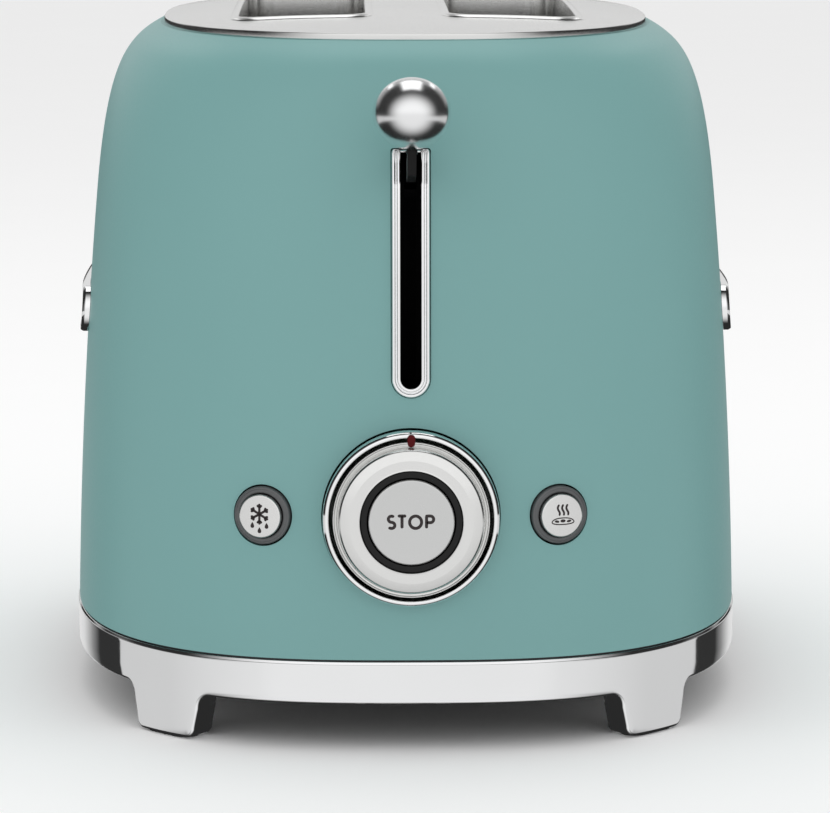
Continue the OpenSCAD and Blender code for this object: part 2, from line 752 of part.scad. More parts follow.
module side_ring(side) color("#5b6062") at_side_button(side) {
  ring(side_ring_r, side_button_r + free_gap, side_ring_back, side_ring_proud);
  ring(side_button_r + free_gap + eps, side_stem_r + running_fit, side_web_s, side_web_s + side_web_t);
}

module side_button(side) color("#d8d9da") at_side_button(side) {
  disc(side_button_r, side_cap_back, side_cap_proud);
  disc(side_stem_r, side_stem_end, side_cap_back + 1);
  disc(side_stem_r + 1, side_web_s - 1.5, side_web_s - 0.1);
}

module side_spring(side) color("#a9acae") at_side_button(side)
  coil_spring(4, 0.35, 4, side_web_s + side_web_t, side_cap_back);

module side_switches() color("#2a2b2d") for (side = [-1, 1]) difference() {
  at_side_button(side) translate([-switch_w / 2, -switch_w / 2, side_stem_end - side_travel - free_gap - 20])
    cube([switch_w, switch_w, 20]);
  box([-body_w, front_y(knob_z) - board_s, 0], [body_w, 0, body_h]);
}

board_y = front_y(knob_z) - board_s;
board_x = 60;
board_z0 = 38;
board_z1 = magnet_z1 - 1;
standoff_x = 55;

module control_board() color("#2f6b46")
  box([-board_x, board_y, board_z0], [board_x, board_y + board_t, board_z1]);

module board_parts() color("#3a3c40") {
  back = board_y + board_t;
  box([-46, back, 42], [-28, back + 13, 54]);
  box([26, back, 42], [44, back + 8, 50]);
  translate([-40, back, 74]) rotate([-90, 0, 0]) cylinder(r = 5, h = 12);
  translate([40, back, 66]) rotate([-90, 0, 0]) cylinder(r = 4, h = 9);
  box([-52, board_y - 2, 41], [-40, board_y, 46]);
  box([30, board_y - 2, 40], [48, board_y, 45]);
}

module board_standoffs() color("#b08d4a") for (side = [-1, 1], z = [board_z0 + 5, board_z1 - 5])
  translate([side * standoff_x, board_y + board_t, z]) rotate([-90, 0, 0])
    cylinder(r = 2.5, h = -bulkhead_y - board_y - board_t);

module magnet_core() color("#7d8184") {
  box([-12, -bulkhead_y - 3, magnet_z0], [12, -bulkhead_y, magnet_z1 - 1]);
  box([-12, magnet_y - 8, magnet_z0], [12, -bulkhead_y, magnet_z0 + 4]);
  translate([0, magnet_y, magnet_z0 + 3]) cylinder(r = pole_r, h = magnet_z1 - magnet_z0 - 3);
}

module magnet_coil() color("#a35a2c") translate([0, magnet_y, magnet_z0 + 4]) difference() {
  cylinder(r = coil_r, h = magnet_z1 - magnet_z0 - 8);
  translate([0, 0, -1]) cylinder(r = pole_r, h = magnet_z1);
}

// ---- toasting chamber ----

// Steel end wall with its folded flanges; the front one also has slots for the racks
// and brackets for the guide rods.
module bulkhead(front) color("#c2c5c7") scale([1, front ? -1 : 1, 1]) difference() {
  union() {
    box([-chamber_x, chamber_y, chassis_z0], [chamber_x, bulkhead_y, chassis_z1]);
    box([-ear_x, chamber_y, chassis_z0], [ear_x, bulkhead_y + flange_l, chassis_z0 + sheet_t]);
    box([-rod_x - 10, chamber_y, chassis_z1 - sheet_t], [rod_x + 10, bulkhead_y + flange_l, chassis_z1]);
    if (front) for (side = [-1, 1]) box([side * rod_x - bracket_w / 2, chamber_y, bracket_z1 - sheet_t],
      [side * rod_x + bracket_w / 2, bulkhead_y + flange_l, bracket_z1]);
  }
  for (slot = [-1, 1], wall = [-1, 1])
    translate([slot * slot_pitch / 2 + wall * grille_x, chamber_y - 1, grille_z0]) rotate([-90, 0, 0])
      cylinder(r = grille_rod_r + running_fit, h = sheet_t + 2);
  if (front) for (side = [-1, 1]) box(
    [side * slot_pitch / 2 - rack_bar_t / 2 - rack_slot_gap, chamber_y - 1,
      rack_z1 - rack_bar_h - lever_travel - 1],
    [side * slot_pitch / 2 + rack_bar_t / 2 + rack_slot_gap, bulkhead_y + 1, rack_z1]);
  corners(boss_x, boss_y) translate([0, 0, chassis_z0 - 1]) cylinder(r = screw_r, h = sheet_t + 2);
  corners(plate_screw_x, boss_y) translate([0, 0, chassis_z1 - sheet_t - 1])
    cylinder(r = screw_r, h = sheet_t + 2);
}

module reflector(side) color("#cdd0d1") {
  x0 = side > 0 ? chamber_x - 1 : -chamber_x;
  box([x0, -chamber_y, chassis_z0 + 6], [x0 + 1, chamber_y, chassis_z1 - 4]);
  fold = side > 0 ? chamber_x - 6 : -chamber_x;
  box([fold, -chamber_y, chassis_z0 + 6], [fold + 6, chamber_y, chassis_z0 + 7]);
}

module heater_card(x) color("#cbb994")
  box([x - card_t / 2, -chamber_y, card_z0], [x + card_t / 2, chamber_y, card_z1]);

// Flat resistance ribbon, laid in rows on the bread side of each card.
module heater_wires() color("#8a8078") for (side = [-1, 1], outer = [0, 1]) {
  x = side * (outer == 1 ? card_x_outer : card_x_inner);
  facing = side * (outer == 1 ? -1 : 1);
  low = facing > 0 ? x + card_t / 2 : x - card_t / 2 - ribbon_t;
  for (z = [card_z0 + 8:ribbon_step:card_z1 - 6])
    box([low, -chamber_y + 6, z], [low + ribbon_t, chamber_y - 6, z + ribbon_h]);
}

module guide_grille(x) color("#b4b7b9") translate([x, 0, 0]) {
  translate([0, bulkhead_y + 1, grille_z0]) rotate([90, 0, 0])
    cylinder(r = grille_rod_r, h = 2 * bulkhead_y + 2);
  translate([0, grille_end, grille_z1]) rotate([90, 0, 0]) cylinder(r = grille_rod_r, h = 2 * grille_end);
  reach = floor((grille_end - 2) / grille_step);
  for (i = [-reach:reach]) translate([0, i * grille_step, grille_z0])
    cylinder(r = grille_wire_r, h = grille_z1 - grille_z0, $fn = 24);
}

// ---- mains side ----

module cord_gland() color("#18191a") translate([gland_x, 0, gland_z]) rotate([-90, 0, 0]) difference() {
  wall = end_y(gland_x, gland_z);
  union() {
    disc(gland_r, wall - 12, wall + gland_proud);
    disc(gland_r + 2.5, wall - 12, wall - 8);
  }
  disc(gland_bore_r, wall - 20, wall + 20);
}

module terminal_block() color("#e6e0cf")
  box([gland_x - 12, bulkhead_y, gland_z + 18], [gland_x + 12, bulkhead_y + 13, gland_z + 30]);

// Insulated lead from the terminal block along the chamber to the control board.
lead_route = [
  [gland_x - 12, bulkhead_y + 7, gland_z + 24], [gland_x - 16, bulkhead_y + 7, gland_z + 24],
  [-66, bulkhead_y + 5, 62], [-69, bulkhead_y, 57],
  [-71, bulkhead_y - 6, 51], [-73, 60, 48], [-74, 20, 46], [-74, -20, 46], [-73, -60, 48],
  [-71, -bulkhead_y + 2, 52], [-68, -bulkhead_y - 7, 57], [-63, -bulkhead_y - 14, 61],
  [-58, board_y + board_t + 8, 64], [-56, board_y + board_t + 4, 65], [-56, board_y + board_t, 65]
];
module inner_lead() color("#7b4a2b") lead(lead_route, lead_r);

module chassis_screws() color("#9a9da0") corners(boss_x, boss_y)
  translate([0, 0, chassis_z0 + sheet_t]) pan_screw(9);

module plate_screws() color("#9a9da0") corners(plate_screw_x, boss_y)
  translate([0, 0, chassis_z1 - sheet_t]) rotate([180, 0, 0]) pan_screw(6);

body_shell();
top_plate();
base_band();
foot_pads();
base_plate();
crumb_tray();
badge(-1);  // badge_left
badge(1);  // badge_right
slot_frame();
slot_shield();
knob_bezel();
browning_knob();
knob_pointer();
stop_sleeve();
stop_button();
stop_spring();
stop_switch();
encoder_body();
encoder_rotor();
side_ring(-1);  // defrost_ring
side_button(-1);  // defrost_button
side_spring(-1);  // defrost_spring
side_ring(1);  // reheat_ring
side_button(1);  // reheat_button
side_spring(1);  // reheat_spring
side_switches();
control_board();
board_parts();
board_standoffs();
lever_ball();
lever_arm();
carriage_plate();
carriage_bushes();
guide_rods();
carriage_spring();
bread_rack(-1);  // bread_rack_left
bread_rack(1);  // bread_rack_right
armature_plate();
magnet_coil();
magnet_core();
bulkhead(true);  // front_bulkhead
bulkhead(false);  // rear_bulkhead
reflector(-1);  // reflector_left
reflector(1);  // reflector_right
heater_card(-card_x_outer);  // heater_card_outer_left
heater_card(-card_x_inner);  // heater_card_inner_left
heater_card(card_x_inner);  // heater_card_inner_right
heater_card(card_x_outer);  // heater_card_outer_right
heater_wires();
guide_grille(-slot_pitch / 2 - grille_x);  // guide_grille_outer_left
guide_grille(-slot_pitch / 2 + grille_x);  // guide_grille_inner_left
guide_grille(slot_pitch / 2 - grille_x);  // guide_grille_inner_right
guide_grille(slot_pitch / 2 + grille_x);  // guide_grille_outer_right
terminal_block();
inner_lead();
cord_gland();
chassis_screws();
plate_screws();
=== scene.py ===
import json
import math

import bmesh
import bpy
import numpy as np
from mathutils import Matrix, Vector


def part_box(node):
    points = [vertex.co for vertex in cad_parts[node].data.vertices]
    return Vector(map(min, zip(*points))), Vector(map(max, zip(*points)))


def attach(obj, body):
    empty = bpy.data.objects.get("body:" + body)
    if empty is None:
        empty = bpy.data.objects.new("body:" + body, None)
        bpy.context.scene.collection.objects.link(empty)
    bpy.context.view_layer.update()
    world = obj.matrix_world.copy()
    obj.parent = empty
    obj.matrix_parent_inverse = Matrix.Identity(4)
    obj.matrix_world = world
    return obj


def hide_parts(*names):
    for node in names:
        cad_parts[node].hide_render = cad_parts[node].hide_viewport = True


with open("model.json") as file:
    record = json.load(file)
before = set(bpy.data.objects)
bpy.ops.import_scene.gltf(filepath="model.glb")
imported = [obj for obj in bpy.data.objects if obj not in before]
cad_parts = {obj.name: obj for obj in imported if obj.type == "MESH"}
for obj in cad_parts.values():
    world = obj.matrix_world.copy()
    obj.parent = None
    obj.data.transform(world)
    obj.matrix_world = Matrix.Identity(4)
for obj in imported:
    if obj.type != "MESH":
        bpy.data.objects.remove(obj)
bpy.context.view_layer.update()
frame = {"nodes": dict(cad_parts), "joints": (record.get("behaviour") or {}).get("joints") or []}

MM = 0.001

# ---- Painted shell ----
# Deep-drawn steel sheet, 1.5 mm thick, powder-coated in matt teal. One drawing has the barrelled
# wall and the rounded shoulder. It is pierced for the lever slot, the knob, the two small buttons
# and the cord gland, and it drops over the ring of the base plate.


def grid_piece(name, grids, sharp_angle=32):
    """Makes one piece from grids of points. Each grid is (points, wrap): its rows run along a
    path and its columns run round it, so the last column joins the first, and the last row
    joins the first where wrap is true. Points that coincide, as at a pole, become one."""
    mesh_points, mesh_quads, start = [], [], 0
    for points, wrap in grids:
        rows, columns = points.shape[:2]
        index = np.arange(rows * columns).reshape(rows, columns) + start
        if wrap:
            index = np.vstack([index, index[:1]])
        index = np.hstack([index, index[:, :1]])
        corners = [index[:-1, :-1], index[:-1, 1:], index[1:, 1:], index[1:, :-1]]
        mesh_quads.append(np.stack(corners, -1).reshape(-1, 4))
        mesh_points.append(points.reshape(-1, 3))
        start += rows * columns
    mesh = bpy.data.meshes.new(name)
    mesh.from_pydata(np.vstack(mesh_points).tolist(), [], np.vstack(mesh_quads).tolist())
    close_mesh(mesh)
    smooth_mesh(mesh, sharp_angle)
    piece = bpy.data.objects.new(name, mesh)
    bpy.context.scene.collection.objects.link(piece)
    return piece


def close_mesh(mesh):
    """Merges points that coincide, drops faces with no area and turns all faces outwards."""
    shape = bmesh.new()
    shape.from_mesh(mesh)
    bmesh.ops.remove_doubles(shape, verts=shape.verts, dist=1e-7)
    bmesh.ops.dissolve_degenerate(shape, dist=1e-8, edges=shape.edges)
    bmesh.ops.recalc_face_normals(shape, faces=shape.faces)
    shape.to_mesh(mesh)
    shape.free()


def smooth_mesh(mesh, sharp_angle):
    """Shades the faces smooth, with a sharp edge where two faces meet at over sharp_angle."""
    mesh.shade_smooth()
    mesh.set_sharp_from_angle(angle=math.radians(sharp_angle))


def pierce(piece, cutter, sharp_angle=32):
    """Cuts the closed mesh of cutter out of piece, and removes the cutter."""
    cut = piece.modifiers.new("cut", "BOOLEAN")
    cut.operation = "DIFFERENCE"
    cut.solver = "EXACT"
    cut.object = cutter
    whole = bpy.context.evaluated_depsgraph_get()
    mesh = bpy.data.meshes.new_from_object(piece.evaluated_get(whole))
    piece.modifiers.clear()
    piece.data = mesh
    bpy.data.objects.remove(cutter)
    smooth_mesh(mesh, sharp_angle)


def rounded(points, radius, steps=5):
    """Open outline with its inner corners rounded: each corner becomes a quadratic curve whose
    ends lie radius away from it along the two sides, or less on a short side."""
    points = np.array(points, float)
    out = [points[:1]]
    t = np.linspace(0, 1, steps)[:, None]
    for before, corner, after in zip(points[:-2], points[1:-1], points[2:]):
        ends = []
        for other in (before, after):
            side = other - corner
            reach = min(radius, np.linalg.norm(side) * 0.48)
            ends.append(corner + side / np.linalg.norm(side) * reach)
        curve = (1 - t) ** 2 * ends[0] + 2 * t * (1 - t) * corner + t ** 2 * ends[1]
        out.append(curve)
    out.append(points[-1:])
    return np.vstack(out)


def rounded_loop(points, radius, steps=5):
    """The same for a closed outline, started in the middle of its first side."""
    points = np.array(points, float)
    middle = (points[0] + points[1]) / 2
    return rounded(np.vstack([middle, points[1:], points[:1], middle]), radius, steps)[:-1]


band_low, band_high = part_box("base_band")
shell_low, shell_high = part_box("body_shell")
half_w, half_l = band_high.x, band_high.y
base_squareness = 2.8
top_squareness = 2.46
plate_inset = 26.2 * MM
shell_t = 1.5 * MM
plan_columns = 384
plan_angles = np.linspace(0, 2 * np.pi, plan_columns, endpoint=False)


def plan_points(inset, squareness, angles=plan_angles):
    """Superellipse |x/a|^n + |y/b|^n = 1, where a and b are the half sizes of the body less the
    inset, and n is the squareness. The point at an angle lies on the ray of that angle on the
    stretched circle, as (a cos, b sin) scaled by (|cos|^n + |sin|^n) to the power -1/n."""
    c, s = np.cos(angles), np.sin(angles)
    k = (np.abs(c) ** squareness + np.abs(s) ** squareness) ** (-1 / squareness)
    return np.stack([(half_w - inset) * c * k, (half_l - inset) * s * k], -1)


def squareness_at(inset):
    """Squareness falls evenly from the base to the edge of the top plate."""
    share = np.maximum(0, inset) / plate_inset
    return base_squareness - (base_squareness - top_squareness) * share


shoulder_h = 47.6 * MM
shoulder_inset = 25.15 * MM
barrel_start, barrel_lean, barrel_r = 0.25 * MM, 0.0181, 1.76
barrel_rows, shoulder_rows = 26, 44
barrel_z = np.linspace(shell_low.z, shell_high.z - shoulder_h, barrel_rows)
barrel_rise = barrel_z - shell_low.z
barrel_inset = barrel_start + barrel_lean * barrel_rise + barrel_rise ** 2 / (2 * barrel_r)

# The shoulder is a cubic curve that starts along the barrel and ends at 60 degrees.
lean = math.atan(barrel_lean + barrel_rise[-1] / barrel_r)
handle_low, handle_high, end_angle = 41 * MM, 9.5 * MM, math.radians(60)
ends = np.array([[barrel_inset[-1], barrel_z[-1]], [shoulder_inset, shell_high.z]])
handles = ends + np.array([
    [handle_low * math.sin(lean), handle_low * math.cos(lean)],
    [-handle_high * math.sin(end_angle), -handle_high * math.cos(end_angle)],
])
t = np.linspace(0, 1, shoulder_rows)[1:, None]
shoulder = (
    (1 - t) ** 3 * ends[0] + 3 * t * (1 - t) ** 2 * handles[0]
    + 3 * t ** 2 * (1 - t) * handles[1] + t ** 3 * ends[1]
)
skin = np.vstack([np.stack([barrel_inset, barrel_z], -1), shoulder])


def inset_at(z):
    """Inset of the outer skin at a height."""
    return np.interp(z, skin[:, 1], skin[:, 0])


def front_y(z):
    """Where the skin crosses the middle plane at the lever end."""
    return -(half_l - inset_at(z))


def side_x(y, z):
    """How far out the skin is on the long side."""
    inset = inset_at(z)
    n = squareness_at(inset)
    return (half_w - inset) * (1 - (np.abs(y) / (half_l - inset)) ** n) ** (1 / n)


along = np.gradient(skin, axis=0)
along /= np.linalg.norm(along, axis=1)[:, None]
inner = skin + shell_t * np.stack([along[:, 1], -along[:, 0]], -1)
ledge_w, ledge_drop = 5 * MM, 0.1 * MM
ledge_inset, ledge_z = plate_inset + ledge_w, shell_high.z - ledge_drop
ledge_start = 2.2 * shell_t
inner = inner[inner[:, 1] < shell_high.z - ledge_start][::-1]
ledge = rounded(
    [skin[-1], [plate_inset, ledge_z], [ledge_inset, ledge_z],
     [ledge_inset, ledge_z - shell_t], [shoulder_inset + 2 * MM, ledge_z - shell_t], inner[0]],
    0.4 * MM, 4,
)
shell_profile = np.vstack([skin, ledge[1:-1], inner])
shell_rings = np.stack([
    np.column_stack([plan_points(i, squareness_at(i)), np.full(plan_columns, z)])
    for i, z in shell_profile
])
shell = grid_piece("shell_skin", [(shell_rings, True)])

bezel_low, bezel_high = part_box("knob_bezel")
bezel_proud = 4.4 * MM
press = {j["name"]: np.array(j["axis"], float) for j in frame["joints"]}


def axis_frame(out):
    """Right, up and outward unit vectors of a control that faces the direction out."""
    up = np.array([0.0, 0.0, 1.0])
    right = np.cross(up, out)
    return np.stack([right / np.linalg.norm(right), up, out])


def button_place(node, out, proud):
    """Middle of a small button on the skin: the middle of its ring, whose face stands proud."""
    low, high = (np.array(corner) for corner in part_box(node))
    across = axis_frame(out)[0]
    depth = (high - low)[1] - 2 * side_ring_r * abs(across[1])
    middle = (low + high) / 2
    return middle + out * (depth / abs(out[1]) / 2 - proud)


side_ring_r = 8.1 * MM
side_ring_proud = 0.9 * MM
knob_out = np.array([0.0, -1.0, 0.0])
knob_place = np.array([0.0, bezel_low.y + bezel_proud, (bezel_low.z + bezel_high.z) / 2])
defrost_out, reheat_out = -press["defrost_press"], -press["reheat_press"]
defrost_place = button_place("defrost_ring", defrost_out, side_ring_proud)
reheat_place = button_place("reheat_ring", reheat_out, side_ring_proud)


def lathe_grid(profile, place, out, columns=128):
    """Surface of revolution: each (radius, distance out) pair of the profile, carried round the
    axis that leaves place in the direction out."""
    profile = np.array(profile, float)
    angles = np.linspace(0, 2 * np.pi, columns, endpoint=False)
    right, up, ahead = axis_frame(out)
    circle = np.cos(angles)[:, None] * right + np.sin(angles)[:, None] * up
    return place + profile[:, 0, None, None] * circle + profile[:, 1, None, None] * ahead


def drum(name, radius, back, front, place, out):
    """Closed plain drum that cuts a round hole."""
    profile = [[0, back], [radius, back], [radius, front], [0, front]]
    return grid_piece(name, [(lathe_grid(profile, place, out), False)])


def stadium(half, z0, z1, corner, steps=20, foot_steps=28):
    """Upright outline in X and Z with a half-round foot and rounded top corners, which starts
    and ends in the middle of its top. Rows are (x, z), counted anticlockwise from the front."""
    quarter = np.linspace(0, np.pi / 2, steps)
    foot = np.linspace(np.pi, 2 * np.pi, foot_steps)
    reach, rise = corner * np.sin(quarter), corner * np.cos(quarter)
    left = np.stack([-half + corner - reach, z1 - corner + rise], -1)
    around = np.stack([half * np.cos(foot), z0 + half + half * np.sin(foot)], -1)
    right = np.stack([half - corner + rise, z1 - corner + reach], -1)
    return np.vstack([left, around, right])


def closed_ends(rings):
    """Adds a first and a last ring shrunk to their middle, so that both open ends are closed."""
    middle = rings.mean(axis=1, keepdims=True) + 0 * rings
    return np.concatenate([middle[:1], rings, middle[-1:]])


trim_low, trim_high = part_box("slot_frame")
trim_half = trim_high.x
trim_room, trim_corner = 0.2 * MM, 0.8 * MM
slot_outline = stadium(
    trim_half + trim_room, trim_low.z - trim_room, trim_high.z + trim_room, trim_corner,
)
slot_cutter = closed_ends(np.stack([
    np.column_stack([slot_outline[:, 0], np.full(len(slot_outline), y), slot_outline[:, 1]])
    for y in (trim_low.y - 10 * MM, trim_high.y + 8 * MM)
]))
pierce(shell, grid_piece("lever_hole", [(slot_cutter, False)]))

bezel_r = 24.1 * MM
shadow_gap = 0.35 * MM
gland_low, gland_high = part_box("cord_gland")
gland_r, gland_room = 7 * MM, 0.1 * MM
gland_proud = 5 * MM
gland_out = np.array([0.0, 1.0, 0.0])
gland_place = np.array([
    (gland_low.x + gland_high.x) / 2, gland_high.y - gland_proud, (gland_low.z + gland_high.z) / 2,
])

# Round holes: name, radius, how far each drum reaches back and forward, its place and direction.
for hole_name, radius, back, front, place, out in (
    ("knob_hole", bezel_r + shadow_gap, -14 * MM, 14 * MM, knob_place, knob_out),
    ("defrost_hole", side_ring_r + shadow_gap, -9 * MM, 9 * MM, defrost_place, defrost_out),
    ("reheat_hole", side_ring_r + shadow_gap, -9 * MM, 9 * MM, reheat_place, reheat_out),
    ("gland_hole", gland_r + gland_room, -20 * MM, 10 * MM, gland_place, gland_out),
):
    pierce(shell, drum(hole_name, radius, back, front, place, out))


def shader_group(name, inputs, outputs):
    """Empty shader node group with named float or vector sockets."""
    group = bpy.data.node_groups.new(name, "ShaderNodeTree")
    for label, kind in inputs:
        group.interface.new_socket(name=label, in_out="INPUT", socket_type=kind)
    for label in outputs:
        group.interface.new_socket(name=label, in_out="OUTPUT", socket_type="NodeSocketFloat")
    return group, group.nodes.new("NodeGroupInput"), group.nodes.new("NodeGroupOutput")


# Surface drift: soft noise on the object's own coordinates, stretched along chosen axes. Value
# runs between Low and High, and Relief is the bare noise for a bump.
drift, drift_in, drift_out = shader_group(
    "surface_drift",
    [("Scale", "NodeSocketFloat"), ("Stretch", "NodeSocketVector"),
     ("Low", "NodeSocketFloat"), ("High", "NodeSocketFloat")],
    ["Value", "Relief"],
)
where = drift.nodes.new("ShaderNodeTexCoord")
stretched = drift.nodes.new("ShaderNodeVectorMath")
stretched.operation = "MULTIPLY"
noise = drift.nodes.new("ShaderNodeTexNoise")
noise.inputs["Detail"].default_value = 3
ranged = drift.nodes.new("ShaderNodeMapRange")
ranged.inputs["From Min"].default_value = 0.3
ranged.inputs["From Max"].default_value = 0.7
drift.links.new(where.outputs["Object"], stretched.inputs[0])
drift.links.new(drift_in.outputs["Stretch"], stretched.inputs[1])
drift.links.new(stretched.outputs[0], noise.inputs["Vector"])
drift.links.new(drift_in.outputs["Scale"], noise.inputs["Scale"])
drift.links.new(noise.outputs[0], ranged.inputs["Value"])
drift.links.new(drift_in.outputs["Low"], ranged.inputs["To Min"])
drift.links.new(drift_in.outputs["High"], ranged.inputs["To Max"])
drift.links.new(ranged.outputs["Result"], drift_out.inputs["Value"])
drift.links.new(noise.outputs[0], drift_out.inputs["Relief"])


def drift_node(tree, scale, stretch, low, high):
    """One use of the drift group in a material, with its own values."""
    node = tree.nodes.new("ShaderNodeGroup")
    node.node_tree = drift
    node.inputs["Scale"].default_value = scale
    node.inputs["Stretch"].default_value = stretch
    node.inputs["Low"].default_value = low
    node.inputs["High"].default_value = high
    return node


def finish(name, colour, metallic, roughness, spread=0.05, grain=300, relief=0.0, shade=0.08,
           stretch=(1, 1, 1), shade_scale=12, coat=0.0, specular=0.5):
    """Procedural finish. The colour drifts down by the share shade in broad patches, the
    roughness drifts by spread either way with the grain, and the grain makes a bump as deep as
    relief, in metres. Stretch squeezes the grain along an axis, as a brush or a draw does."""
    material = bpy.data.materials.new(name)
    material.use_nodes = True
    tree = material.node_tree
    shader = tree.nodes["Principled BSDF"]
    shader.inputs["Metallic"].default_value = metallic
    shader.inputs["Specular IOR Level"].default_value = specular
    shader.inputs["Coat Weight"].default_value = coat
    shader.inputs["Coat Roughness"].default_value = 0.08
    patches = drift_node(tree, shade_scale, (1, 1, 1), 0, 1)
    mix = tree.nodes.new("ShaderNodeMix")
    mix.data_type = "RGBA"
    mix.inputs[6].default_value = (*colour, 1)
    mix.inputs[7].default_value = (*(c * (1 - shade) for c in colour), 1)
    tree.links.new(patches.outputs["Value"], mix.inputs[0])
    tree.links.new(mix.outputs[2], shader.inputs["Base Color"])
    fine = drift_node(tree, grain, stretch, roughness - spread, roughness + spread)
    tree.links.new(fine.outputs["Value"], shader.inputs["Roughness"])
    if relief:
        bump = tree.nodes.new("ShaderNodeBump")
        bump.inputs["Strength"].default_value = 1
        bump.inputs["Distance"].default_value = relief
        tree.links.new(fine.outputs["Relief"], bump.inputs["Height"])
        tree.links.new(bump.outputs["Normal"], shader.inputs["Normal"])
    return material


def wear(piece, material, body, slot, *nodes):
    """Gives a piece its finish and its body, and hides the nodes it stands for. The slot argument is not
    used.
    A piece that only adds to another stands for none."""
    piece.data.materials.clear()
    piece.data.materials.append(material)
    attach(piece, body)
    if nodes:
        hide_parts(*nodes)


teal_paint = finish(
    "matt_teal_paint", (0.190, 0.392, 0.382), 0, 0.42, spread=0.03, grain=1400,
    relief=0.006 * MM, shade=0.035, shade_scale=7,
)
wear(shell, teal_paint, "casing", "teal_paint", "body_shell")

# ---- Top plate and slot lips ----
# Stainless plate, pressed to a low dome, satin-polished, with an upright polished rim that stands
# on the shell. The two bread slots have rolled lips and drawn collars.

plate_low, plate_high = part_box("top_plate")
rim_z0, rim_h = shell_high.z, 1.8 * MM
lip_h = 0.8 * MM
crown_z = plate_high.z - lip_h
dome_drop = crown_z - rim_z0 - rim_h
plate_t = 1.2 * MM


def dome_height(share):
    """Height of the dome, falling with the fourth power of the share of the way to the rim."""
    return crown_z - dome_drop * share ** 4


def dome_share(x, y):
    """Share of the way from the middle to the rim, for points in plan."""
    n = squareness_at(plate_inset)
    a, b = half_w - plate_inset, half_l - plate_inset
    return (np.abs(x / a) ** n + np.abs(y / b) ** n) ** (1 / n)


rim = rounded([
    [0, 0], [0.1, 0.12], [0.75, 0.0], [0.8, -0.5], [0.8, -1.9], [0.1, -1.95], [-1.5, -1.95],
], 0.22, 5) * MM
dome_steps, dome_ease = 46, 0.8
dome_edge, rim_seat, under_edge = 1.0 * MM, 0.9 * MM, 1.6 * MM
shares = np.linspace(0, 1, dome_steps)[:-1] ** dome_ease
dome_rows = [(-dome_edge, share, dome_height(share)) for share in shares]
rim_rows = [(out - rim_seat, 1.0, rim_z0 + rim_h + up) for out, up in rim]
under_rows = [(-under_edge, share, dome_height(share) - plate_t) for share in shares[::-1]]
edge_plan = plan_points(plate_inset, squareness_at(plate_inset))
edge_out = edge_plan / np.linalg.norm(edge_plan, axis=1)[:, None]
plate_rings = np.stack([
    np.column_stack([(edge_plan + edge_out * out) * share, np.full(plan_columns, z)])
    for out, share, z in dome_rows + rim_rows + under_rows
])
# Degrees between faces over which an edge of a pressed or turned piece stays sharp.
pressed_crease = 40
plate = grid_piece("plate_skin", [(plate_rings, False)], pressed_crease)

slot_l, slot_w = 146 * MM, 36 * MM
slot_pitch = 60 * MM
slot_corner = 8 * MM
corner_points, slot_stations = 14, 200


def bread_slot_outline():
    """Rounded oblong of a bread slot as evenly spaced points, with their outward normals."""
    corners_x, corners_y = slot_w / 2 - slot_corner, slot_l / 2 - slot_corner
    points, normals = [], []
    for quarter, (sx, sy) in enumerate([(1, 1), (-1, 1), (-1, -1), (1, -1)]):
        a = np.pi / 2 * quarter + np.linspace(0, np.pi / 2, corner_points)
        normal = np.stack([np.cos(a), np.sin(a)], -1)
        points.append(np.array([sx * corners_x, sy * corners_y]) + slot_corner * normal)
        normals.append(normal)
    points, normals = np.vstack(points), np.vstack(normals)
    loop = np.vstack([points, points[:1]])
    run = np.concatenate([[0], np.cumsum(np.linalg.norm(np.diff(loop, axis=0), axis=1))])
    stations = np.linspace(0, run[-1], slot_stations, endpoint=False)
    turn = np.vstack([normals, normals[:1]])
    fine = np.stack([np.interp(stations, run, loop[:, k]) for k in (0, 1)], -1)
    facing = np.stack([np.interp(stations, run, turn[:, k]) for k in (0, 1)], -1)
    return fine, facing / np.linalg.norm(facing, axis=1)[:, None]


slot_plan, slot_facing = bread_slot_outline()
collar_bottom = plate_low.z
lip_section = rounded_loop([
    [0.0, -13.2], [0.0, 0.78], [1.0, 0.8], [2.5, 0.05], [2.5, -0.9], [1.5, -0.9], [1.5, -13.2],
], 0.62, 6) * MM
hole_grow_mm, cutter_reach = 1.3, 9 * MM
lips = []
for side in (-1, 1):
    centre = np.array([side * slot_pitch / 2, 0])
    hole = slot_plan + slot_facing * hole_grow_mm * MM + centre
    cutter = closed_ends(np.stack([
        np.column_stack([hole, np.full(len(hole), z)])
        for z in (rim_z0 - cutter_reach, plate_high.z + cutter_reach)
    ]))
    pierce(plate, grid_piece("slot_hole", [(cutter, False)]), pressed_crease)
    sweep = (slot_plan + centre)[:, None] + slot_facing[:, None] * lip_section[None, :, :1]
    height = dome_height(dome_share(sweep[..., 0], sweep[..., 1])) + lip_section[None, :, 1]
    flat = np.broadcast_to(np.maximum(collar_bottom, height), height.shape)
    lips.append((np.concatenate([sweep, flat[..., None]], -1), True))
slot_lips = grid_piece("slot_lips", lips, pressed_crease)

plate_steel = finish(
    "satin_plate_steel", (0.84, 0.84, 0.83), 1, 0.20, spread=0.03, grain=260,
    shade=0.04, stretch=(12, 0.6, 3),
)
wear(plate, plate_steel, "casing", "plate_steel", "top_plate")
wear(slot_lips, plate_steel, "casing", "plate_steel")

# ---- Base band and legs ----
# Zinc casting, mirror-chromed. The band and its four short legs are one piece; hollow fillets
# blend each tapered leg into the band, and the top edge has a small bright bevel.

ground_gap = 13 * MM
band_t, leg_t = 6 * MM, 9 * MM
leg_angle = math.radians(50)
leg_half_foot, leg_half_top = 12 * MM, 13.4 * MM
leg_round, leg_fillet = 3 * MM, 4 * MM
leg_foot_z = band_low.z

